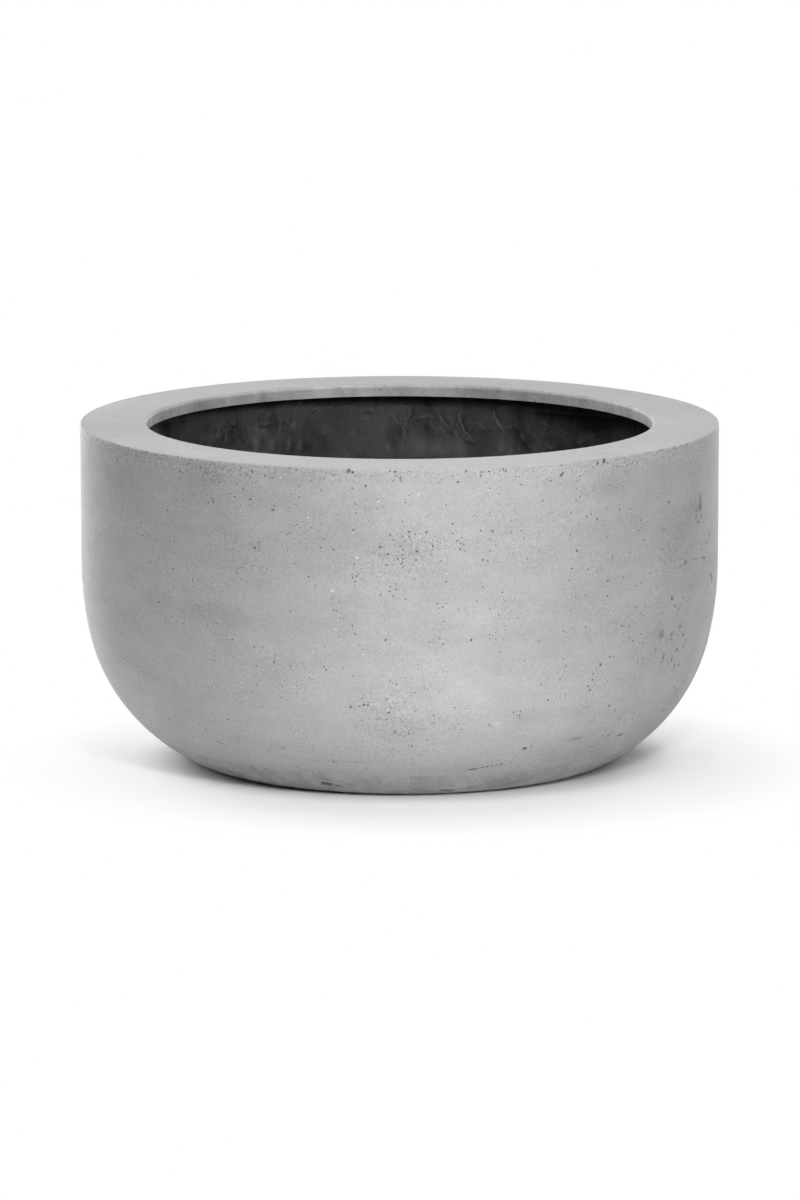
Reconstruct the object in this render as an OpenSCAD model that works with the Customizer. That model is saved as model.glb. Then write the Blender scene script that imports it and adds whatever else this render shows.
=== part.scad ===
// Low round planter of cast fibrestone. A pale face is cast as one skin, and a dark glass-fibre laminate
// is laid inside it. The wall turns in at the top to a flat rim with a short lip, and at the foot through
// a large corner to a flat base with a stoppered drain hole and thin pads.

/* [Body] */
// Outer diameter of the wall and the rim
body_d = 540; // [460:1:620]
// Height from the floor to the top of the rim
body_h = 285; // [250:1:340]
// Radius of the corner between the wall and the base
corner_r = 152; // [120:1:175]
// Depth of the corner's round that the flat base cuts off
base_cut = 17; // [6:0.5:28]
// Distance inwards from the corner's centre to the centre of the gentler arc above it
shoulder_in = 120; // [90:1:150]
// Height of the gentler arc's centre above the corner's centre
shoulder_up = 27; // [10:1:50]

/* [Skin] */
// Thickness of the fibrestone face
face_t = 4; // [3:0.5:6]
// Thickness of the laminate behind the face
laminate_t = 6.5; // [5:0.5:10]

/* [Rim] */
// Width of the flat rim, from the wall to the opening
rim_w = 56; // [44:1:80]
// Radius of the rim's outer arris
outer_arris_r = 1.5; // [0.5:0.1:2.5]
// Radius of the arris between the rim and its lip
inner_arris_r = 3; // [1:0.1:3.5]
// Radius of the laminate's fillet under the rim
under_rim_r = 14; // [6:1:20]

/* [Drain] */
// Diameter of the drain hole
drain_d = 26; // [20:1:32]
// Gap all round between the stopper's ribs and the hole
plug_clearance = 0.05; // [0.02:0.01:0.1]
// Width of the stopper's flange beyond the hole
flange_lap = 8; // [5:0.5:12]
// Thickness of the stopper's flange
flange_t = 3; // [2:0.5:5]
// Height of the stopper's end above the underside of the base
stem_recess = 1; // [0.5:0.5:2]
// Depth of the grooves between the stopper's ribs
rib_depth = 1; // [0.5:0.1:1.5]
// Radius of each rib's round edge
rib_r = 1.2; // [1:0.1:1.3]
// Wall of the stopper round its hollow underside
plug_wall = 4; // [3:0.5:5]
// Thickness of the stopper above its hollow, below the flange
crown_t = 3; // [2:0.5:4]
// Diameter of the stopper's pull knob
knob_d = 18; // [14:0.5:20]
// Thickness of the pull knob
knob_t = 6; // [4:0.5:8]
// Height of the neck below the knob
neck_h = 4; // [3:0.5:6]
// Diameter of the neck
neck_d = 8; // [6:0.5:10]

/* [Pads] */
// Diameter of each foot pad
pad_d = 34; // [24:1:44]
// Thickness of the pads, which lift the base off the floor
pad_t = 2; // [1.5:0.5:4]
// Distance of the pads' edge in from the edge of the base
pad_inset = 16; // [8:1:30]

/* [Hidden] */
PAD_COUNT = 4;
$fn = 128;

wall_r = body_d / 2;
opening_r = wall_r - rim_w;
skin_t = face_t + laminate_t;
floor_z = pad_t + skin_t;
lip_z = body_h - skin_t;
drain_r = drain_d / 2;

// The two arcs of the wall meet on the line through their centres
shoulder_r = corner_r + norm([shoulder_in, shoulder_up]);
shoulder_x = wall_r - shoulder_r;
corner_x = shoulder_x + shoulder_in;
corner_z = pad_t + corner_r - base_cut;
shoulder_z = corner_z + shoulder_up;
base_r = corner_x + sqrt(pow(corner_r, 2) - pow(corner_r - base_cut, 2));
// Longer than any radius in the section
reach = body_d + body_h;
// Along the line where the arcs meet, past both of them
meeting_line = 8 * [shoulder_in, -shoulder_up];
// Overshoot of a cut past the face that it opens
cut = 2;

stem_r = drain_r - plug_clearance - rib_depth;
stem_end = pad_t + stem_recess;
stem_h = floor_z - stem_end;
flange_r = drain_r + flange_lap;
flange_top = floor_z + flange_t;
flange_arris_r = 1;
knob_z = flange_top + neck_h;
knob_edge_x = (knob_d - knob_t) / 2;

// What a round of radius r takes off a square corner at the origin, whose sides run to -X and -Y
module arris(r) {
    translate([-r, -r]) difference() {
        square(r + cut);
        circle(r);
    }
}

// A round of radius r about a point, between two lines out of that point
module arc_sector(x, z, r, from, to) {
    translate([x, z]) intersection() {
        circle(r);
        polygon([[0, 0], from, to]);
    }
}

// Half of the body's solid section, a constant distance inside the outer surface
module body_section(inset) {
    intersection() {
        translate([0, pad_t + inset]) square([wall_r, body_h - pad_t - 2 * inset]);
        union() {
            translate([0, shoulder_z]) square([wall_r - inset, body_h - shoulder_z]);
            arc_sector(shoulder_x, shoulder_z, shoulder_r - inset, [reach, 0], meeting_line);
            arc_sector(corner_x, corner_z, corner_r - inset, meeting_line, [0, -reach]);
            polygon([
                [shoulder_x, shoulder_z],
                [corner_x, corner_z],
                [corner_x, pad_t],
                [shoulder_x - reach, pad_t],
                [shoulder_x - reach, shoulder_z]
            ]);
        }
    }
}

// The space inside the opening, out to a radius, from the lip's lower edge up
module mouth_section(r) {
    translate([0, lip_z - cut]) square([r, skin_t + 2 * cut]);
}

module drain_section() {
    translate([0, pad_t - cut]) square([drain_r, skin_t + 2 * cut]);
}

module face_shell() {
    color([0.71, 0.71, 0.69]) rotate_extrude() difference() {
        body_section(0);
        difference() {
            body_section(face_t);
            translate([0, lip_z]) square([opening_r + face_t, skin_t]);
        }
        mouth_section(opening_r);
        drain_section();
        translate([wall_r, body_h]) arris(outer_arris_r);
        translate([opening_r, body_h]) mirror([1, 0]) arris(inner_arris_r);
    }
}

module inner_laminate() {
    color([0.27, 0.27, 0.26]) rotate_extrude() difference() {
        body_section(face_t);
        difference() {
            body_section(skin_t);
            translate([wall_r - skin_t, lip_z]) arris(under_rim_r);
        }
        mouth_section(opening_r + face_t);
        drain_section();
    }
}

// Two sealing ribs round the stopper, at thirds of its stem
module plug_ribs() {
    for (i = [1:2]) {
        translate([drain_r - plug_clearance - rib_r, stem_end + i * stem_h / 3]) circle(rib_r);
    }
}

module plug_flange() {
    difference() {
        translate([0, floor_z]) square([flange_r, flange_t]);
        translate([flange_r, flange_top]) arris(flange_arris_r);
    }
}

// A neck, and on it a knob with a half-round edge
module plug_knob() {
    translate([0, flange_top]) square([neck_d / 2, neck_h + knob_t]);
    translate([0, knob_z]) square([knob_edge_x, knob_t]);
    translate([knob_edge_x, knob_z + knob_t / 2]) circle(knob_t / 2);
}

module drain_plug() {
    color([0.13, 0.13, 0.13]) rotate_extrude() difference() {
        union() {
            translate([0, stem_end]) square([stem_r, stem_h]);
            plug_ribs();
            plug_flange();
            plug_knob();
        }
        translate([0, stem_end - cut]) square([stem_r - plug_wall, stem_h - crown_t + cut]);
    }
}

module foot_pad(i) {
    color([0.1, 0.1, 0.1]) rotate(45 + (i - 1) * 360 / PAD_COUNT)
        translate([base_r - pad_inset - pad_d / 2, 0, 0]) cylinder(d = pad_d, h = pad_t);
}

face_shell();
inner_laminate();
drain_plug();
for (i = [1:PAD_COUNT]) {
    foot_pad(i);
}
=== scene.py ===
"""Looks of a low round planter of cast fibrestone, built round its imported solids.

A pale fibrestone face with a flat rim and a short lip is lined with a dark glass-fibre laminate. A rubber
stopper closes the drain hole, and four thin rubber pads carry the base. Lengths are in metres, and in
millimetres where a name ends in _mm. Bearings are in degrees round the planter: 0 in front, 90 to the right
as the camera sees it.
"""

import logging
import math
from collections.abc import Callable
from dataclasses import dataclass
from enum import Enum
from functools import partial

import bmesh
import bpy
import numpy as np
from mathutils import Matrix, Vector, noise


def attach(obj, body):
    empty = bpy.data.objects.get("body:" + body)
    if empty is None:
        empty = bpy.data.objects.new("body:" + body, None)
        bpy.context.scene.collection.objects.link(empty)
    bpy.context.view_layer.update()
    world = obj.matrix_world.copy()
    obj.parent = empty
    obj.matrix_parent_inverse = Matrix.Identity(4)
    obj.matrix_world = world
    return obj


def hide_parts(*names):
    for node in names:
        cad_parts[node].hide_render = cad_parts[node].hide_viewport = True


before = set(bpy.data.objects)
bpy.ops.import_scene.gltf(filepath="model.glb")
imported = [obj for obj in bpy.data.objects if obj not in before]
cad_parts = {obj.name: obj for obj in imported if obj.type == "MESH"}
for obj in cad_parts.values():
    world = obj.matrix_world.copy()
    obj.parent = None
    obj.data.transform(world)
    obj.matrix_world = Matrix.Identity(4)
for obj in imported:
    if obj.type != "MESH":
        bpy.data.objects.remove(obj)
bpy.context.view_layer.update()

LOG = logging.getLogger("planter")
MM = 0.001
Socket = bpy.types.NodeSocket
AddNode = Callable[..., Socket]


# Shared helpers


def linear(code: str) -> tuple[float, float, float, float]:
    """Turns an sRGB hex colour into a linear colour.

    Args:
        code: The colour as "#RRGGBB".

    Returns:
        Linear red, green and blue, with an alpha of 1.
    """
    parts = [int(code[i:i + 2], 16) / 255 for i in (1, 3, 5)]
    bent = [p / 12.92 if p <= 0.04045 else ((p + 0.055) / 1.055) ** 2.4 for p in parts]
    return bent[0], bent[1], bent[2], 1.0


def add_node(tree: bpy.types.NodeTree, kind: str, inputs: dict | None = None, out: int | str = 0,
             **settings: object) -> Socket | None:
    """Adds one shader node, with its settings, its input values and the links to it.

    Args:
        tree: The node tree that gets the node.
        kind: The node's type name, after "ShaderNode".
        inputs: Input sockets by name or number, each with a value or with the socket that it is linked to.
        out: The output socket that is wanted, by name or number.
        **settings: Properties of the node.

    Returns:
        That output socket, or None for a node without outputs.
    """
    node = tree.nodes.new("ShaderNode" + kind)
    for name, value in settings.items():
        setattr(node, name, value)
    for key, value in (inputs or {}).items():
        if isinstance(value, Socket):
            tree.links.new(value, node.inputs[key])
        else:
            node.inputs[key].default_value = value
    return node.outputs[out] if node.outputs else None


def new_material(name: str) -> tuple[bpy.types.Material, AddNode]:
    """Starts a material with an empty node tree.

    Args:
        name: The material's name.

    Returns:
        The material, and add_node for its tree.
    """
    material = bpy.data.materials.new(name)
    material.use_nodes = True
    material.node_tree.nodes.clear()
    return material, partial(add_node, material.node_tree)


def place_object(bm: bmesh.types.BMesh, name: str, crease_deg: float = 35.0) -> bpy.types.Object:
    """Makes a finished bmesh into a smooth-shaded object at the origin.

    Args:
        bm: The finished bmesh, which is freed.
        name: The object's name.
        crease_deg: Edges that turn more than this stay sharp.

    Returns:
        The new object, linked to the scene.
    """
    for face in bm.faces:
        face.smooth = True
    mesh = bpy.data.meshes.new(name)
    bm.to_mesh(mesh)
    bm.free()
    mesh.set_sharp_from_angle(angle=math.radians(crease_deg))
    made = bpy.data.objects.new(name, mesh)
    bpy.context.scene.collection.objects.link(made)
    return made


def corners_of(mesh: bpy.types.Mesh) -> np.ndarray:
    """Reads where a mesh's vertices are.

    Args:
        mesh: The mesh.

    Returns:
        Rows of x, y and z.
    """
    flat = np.empty(len(mesh.vertices) * 3)
    mesh.vertices.foreach_get("co", flat)
    return flat.reshape(-1, 3)


def move_corners(mesh: bpy.types.Mesh, co: np.ndarray) -> None:
    """Writes changed vertex places back to a mesh."""
    mesh.vertices.foreach_set("co", co.ravel())
    mesh.update()


def paint(mesh: bpy.types.Mesh, name: str, values: np.ndarray) -> None:
    """Stores one number for each vertex under a name that materials read."""
    layer = mesh.attributes.new(name, "FLOAT", "POINT")
    layer.data.foreach_set("value", values.astype(np.float32))


def fade(x: np.ndarray) -> np.ndarray:
    """Rises smoothly from 0 to 1 as x does."""
    x = np.clip(x, 0, 1)
    return x * x * (3 - 2 * x)


def cut_finer(bm: bmesh.types.BMesh, faces: list[bmesh.types.BMFace], near: np.ndarray, cuts: int) -> None:
    """Cuts some faces of a bmesh into smaller ones.

    Args:
        bm: The bmesh.
        faces: All its faces.
        near: Which of them are cut.
        cuts: Cuts across each of their edges.
    """
    edges = list({edge for face, hit in zip(faces, near) if hit for edge in face.edges})
    bmesh.ops.subdivide_edges(bm, edges=edges, cuts=cuts, use_grid_fill=True)


# The section


@dataclass(frozen=True)
class BodySection:
    """Sizes of the body's section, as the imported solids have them."""
    wall_r: float = 0.270
    height: float = 0.285
    pad_t: float = 0.002
    face_t: float = 0.004
    skin_t: float = 0.0105
    opening_r: float = 0.214
    drain_r: float = 0.013
    corner_x: float = 0.115
    corner_z: float = 0.137
    corner_r: float = 0.152
    shoulder_x: float = -0.005
    shoulder_z: float = 0.164
    shoulder_r: float = 0.275
    outer_arris_r: float = 0.0015
    inner_arris_r: float = 0.003
    under_rim_r: float = 0.014

    @property
    def turn(self) -> float:
        """Angle of the line on which the two arcs of the wall meet."""
        return math.atan2(self.shoulder_z - self.corner_z, self.corner_x - self.shoulder_x)

    @property
    def turn_z(self) -> float:
        """Height at which the two arcs meet, on the outside."""
        return self.shoulder_z - self.shoulder_r * math.sin(self.turn)

    @property
    def lip_z(self) -> float:
        """Height of the lip's lower edge."""
        return self.height - self.skin_t

    def foot_angle(self, inset: float) -> float:
        """Angle below level at which the corner's arc reaches the base, at an inset."""
        return math.asin((self.corner_z - self.pad_t - inset) / (self.corner_r - inset))

    def foot_r(self, inset: float) -> float:
        """Radius at which the base turns up into the corner, at an inset."""
        return self.corner_x + (self.corner_r - inset) * math.cos(self.foot_angle(inset))

    def radius(self, z: float) -> float:
        """Finds the radius of the outer wall.

        Args:
            z: A height on it.

        Returns:
            The radius there.
        """
        if z >= self.shoulder_z:
            return self.wall_r
        if z >= self.turn_z:
            return self.shoulder_x + math.sqrt(self.shoulder_r ** 2 - (self.shoulder_z - z) ** 2)
        return self.corner_x + math.sqrt(self.corner_r ** 2 - (self.corner_z - z) ** 2)

    def outward(self, z: float) -> tuple[float, float]:
        """Finds the outward direction of the outer wall.

        Args:
            z: A height on it.

        Returns:
            The direction's radial and upward parts.
        """
        if z >= self.shoulder_z:
            return 1.0, 0.0
        if z >= self.turn_z:
            down = math.asin((self.shoulder_z - z) / self.shoulder_r)
        else:
            down = math.asin((self.corner_z - z) / self.corner_r)
        return math.cos(down), -math.sin(down)


BODY = BodySection()


class SectionPen:
    """Draws a section in the XZ plane by extruding and spinning one vertex, and revolves it into a piece."""

    def __init__(self, x: float, z: float) -> None:
        """Sets the pen down at a point of the section.

        Args:
            x: Radius of the point.
            z: Its height.
        """
        self.bm = bmesh.new()
        self.tip = bmesh.ops.create_vert(self.bm, co=(x, 0, z))["vert"][0]
        self.start = self.tip

    def line(self, x: float, z: float, pieces: int = 1, support: float = 0.0) -> None:
        """Draws a straight run to a point.

        Args:
            x: Radius of the end.
            z: Height of the end.
            pieces: Even pieces that the run is cut into.
            support: Length of a short extra piece at each end, which keeps a flat flat beside a round.
        """
        run = Vector((x, 0, z)) - self.tip.co
        short = run.normalized() * support
        steps = [(run - 2 * short) / pieces] * pieces
        if support:
            steps = [short, *steps, short]
        for step in steps:
            self.tip = bmesh.ops.extrude_vert_indiv(self.bm, verts=[self.tip])["verts"][0]
            bmesh.ops.translate(self.bm, verts=[self.tip], vec=step)

    def arc(self, x: float, z: float, angle: float, pieces: int) -> None:
        """Draws an arc about a centre.

        Args:
            x: Radius of the centre.
            z: Height of the centre.
            angle: How far the arc turns, in radians, from +X towards +Z where it is positive.
            pieces: Straight pieces that stand for the arc.
        """
        spun = bmesh.ops.spin(self.bm, geom=[self.tip], cent=(x, 0, z), axis=(0, 1, 0), angle=-angle,
                              steps=pieces)
        self.tip = next(part for part in spun["geom_last"] if isinstance(part, bmesh.types.BMVert))

    def close(self, pieces: int = 1) -> None:
        """Draws back to where the pen was set down."""
        end = self.start.co.copy()
        self.line(end.x, end.z, pieces)

    def revolve(self, steps: int, wedges: int = 16) -> bmesh.types.BMesh:
        """Turns the section once round the planter's axis: one wedge first, and then copies of it.

        Args:
            steps: Faces round the axis, a multiple of the wedges.
            wedges: Wedges that make up the round.

        Returns:
            A closed bmesh with its faces outwards.
        """
        bm = self.bm
        wedge = math.tau / wedges
        bmesh.ops.remove_doubles(bm, verts=bm.verts, dist=1e-7)
        bmesh.ops.spin(bm, geom=bm.verts[:] + bm.edges[:], cent=(0, 0, 0), axis=(0, 0, 1), angle=wedge,
                       steps=steps // wedges)
        bmesh.ops.spin(bm, geom=bm.verts[:] + bm.edges[:] + bm.faces[:], cent=(0, 0, 0), axis=(0, 0, 1),
                       angle=math.tau - wedge, steps=wedges - 1, use_duplicate=True)
        bmesh.ops.remove_doubles(bm, verts=bm.verts, dist=1e-6)
        bmesh.ops.recalc_face_normals(bm, faces=bm.faces)
        return bm


# Marks and tones


class Side(Enum):
    """The part of the face that a mark lies on."""
    WALL = "wall"
    RIM = "rim"


@dataclass(frozen=True)
class Mark:
    """A pit, chip or scratch that is really dented into the face.

    Attributes:
        side: Where it lies.
        bearing: Bearing of its middle.
        at_mm: Height of its middle on the wall, or its distance from the axis on the rim.
        long_mm: Half its length.
        wide_mm: Half its width.
        deep_mm: Its depth.
        tilt: Angle of its length above level on the wall, or outwards on the rim.
        stain_and_dent_shade: How dark it is, from 0 to 1, as a stain's own colour and as painted shade in
            its dent; or how pale where it is negative.
        edge: How sharply it begins: about 1 for a soft smear, 2 or more for a chip.
    """
    side: Side
    bearing: float
    at_mm: float
    long_mm: float
    wide_mm: float
    deep_mm: float
    tilt: float = 0.0
    stain_and_dent_shade: float = 1.0
    edge: float = 2.2

    def axes(self) -> tuple[Vector, Vector, Vector, Vector]:
        """Works out where the mark lies.

        Returns:
            Its middle, and the directions of its length, of its width and out of the face.
        """
        b = math.radians(self.bearing)
        out = Vector((math.sin(b), -math.cos(b), 0))
        along = Vector((math.cos(b), math.sin(b), 0))
        if self.side is Side.RIM:
            middle, normal = out * self.at_mm * MM + Vector((0, 0, BODY.height)), Vector((0, 0, 1))
        else:
            z = self.at_mm * MM
            middle = out * BODY.radius(z) + Vector((0, 0, z))
            flat, rise = BODY.outward(z)
            normal = out * flat + Vector((0, 0, rise))
        across = normal.cross(along)
        if self.side is Side.RIM:
            across = out
        turn = math.radians(self.tilt)
        return (middle, along * math.cos(turn) + across * math.sin(turn),
                across * math.cos(turn) - along * math.sin(turn), normal)

    def place(self, co: np.ndarray) -> tuple[np.ndarray, np.ndarray, np.ndarray]:
        """Places points against the mark.

        Args:
            co: Rows of x, y and z.

        Returns:
            How far each point is along the mark, across it and out of the face, in millimetres.
        """
        middle, along, across, normal = (np.array(v) for v in self.axes())
        gap = (co - middle) / MM
        return gap @ along, gap @ across, gap @ normal


@dataclass(frozen=True)
class Tone:
    """A soft patch of a piece that is paler, darker, more pitted or more crumpled than the rest.

    Attributes:
        bearing: Bearing of its middle.
        z_mm: Height of its middle.
        wide_mm: Half its width.
        high_mm: Half its height.
        amount: How much paler, more pitted or more crumpled it is; negative where it is less so.
    """
    bearing: float
    z_mm: float
    wide_mm: float
    high_mm: float
    amount: float


@dataclass(frozen=True)
class Run:
    """A run of resin down the inside of the wall, or a fold of the mat that stands back from it.

    Attributes:
        path: Its points, each a bearing and a height in mm.
        wide_mm: Half its width.
        lift_mm: How far it stands out of the wall, or stands back where it is negative; a raised run also
            gets a painted highlight, and a sunk one painted shade.
    """
    path: tuple[tuple[float, float], ...]
    wide_mm: float
    lift_mm: float

    def fill(self, co: np.ndarray, wall_r: float) -> np.ndarray:
        """Measures how full the run is at points; its ends taper and its edges wander a little.

        Args:
            co: Rows of x, y and z.
            wall_r: Radius of the wall that carries it.

        Returns:
            How full the run is at each point, from 0 outside it to 1 along its middle.
        """
        scale = math.radians(wall_r / MM)
        first = self.path[0][0]
        u = ((np.degrees(np.arctan2(co[:, 0], -co[:, 1])) - first + 180) % 360 - 180) * scale
        v = co[:, 2] / MM
        u, v = (u + 0.45 * np.sin(0.9 * v + first) + 0.25 * np.sin(2.1 * v + 0.8 * u),
                v + 0.45 * np.sin(0.8 * u + first) + 0.25 * np.sin(1.9 * u - 0.7 * v))
        knots = [(((b - first + 180) % 360 - 180) * scale, z) for b, z in self.path]
        spans = [math.hypot(p[0] - q[0], p[1] - q[1]) for p, q in zip(knots, knots[1:])]
        full = np.zeros(len(co))
        done = 0.0
        for (u0, v0), (u1, v1), span in zip(knots, knots[1:], spans):
            t = np.clip(((u - u0) * (u1 - u0) + (v - v0) * (v1 - v0)) / span ** 2, 0, 1)
            share = (done + t * span) / sum(spans)
            wide = self.wide_mm * (0.45 + 0.75 * np.sqrt(np.clip(np.sin(math.pi * share), 0, 1)))
            gap = np.hypot(u - u0 - t * (u1 - u0), v - v0 - t * (v1 - v0)) / wide
            full = np.maximum(full, np.exp(-1.3 * gap ** 2) * (0.55 + 0.45 * np.sin(math.pi * share)))
            done += span
        return full


def tone_field(co: np.ndarray, tones: tuple[Tone, ...]) -> np.ndarray:
    """Adds up soft patches at points of a piece.

    Args:
        co: Rows of x, y and z.
        tones: The patches.

    Returns:
        The sum of the patches at each point.
    """
    bearing = np.degrees(np.arctan2(co[:, 0], -co[:, 1]))
    reach = np.hypot(co[:, 0], co[:, 1]) / MM
    total = np.zeros(len(co))
    for tone in tones:
        turn = (bearing - tone.bearing + 180) % 360 - 180
        u = np.radians(turn) * reach / tone.wide_mm
        v = (co[:, 2] / MM - tone.z_mm) / tone.high_mm
        total += tone.amount * np.exp(-1.2 * (u * u + v * v))
    return total
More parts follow.
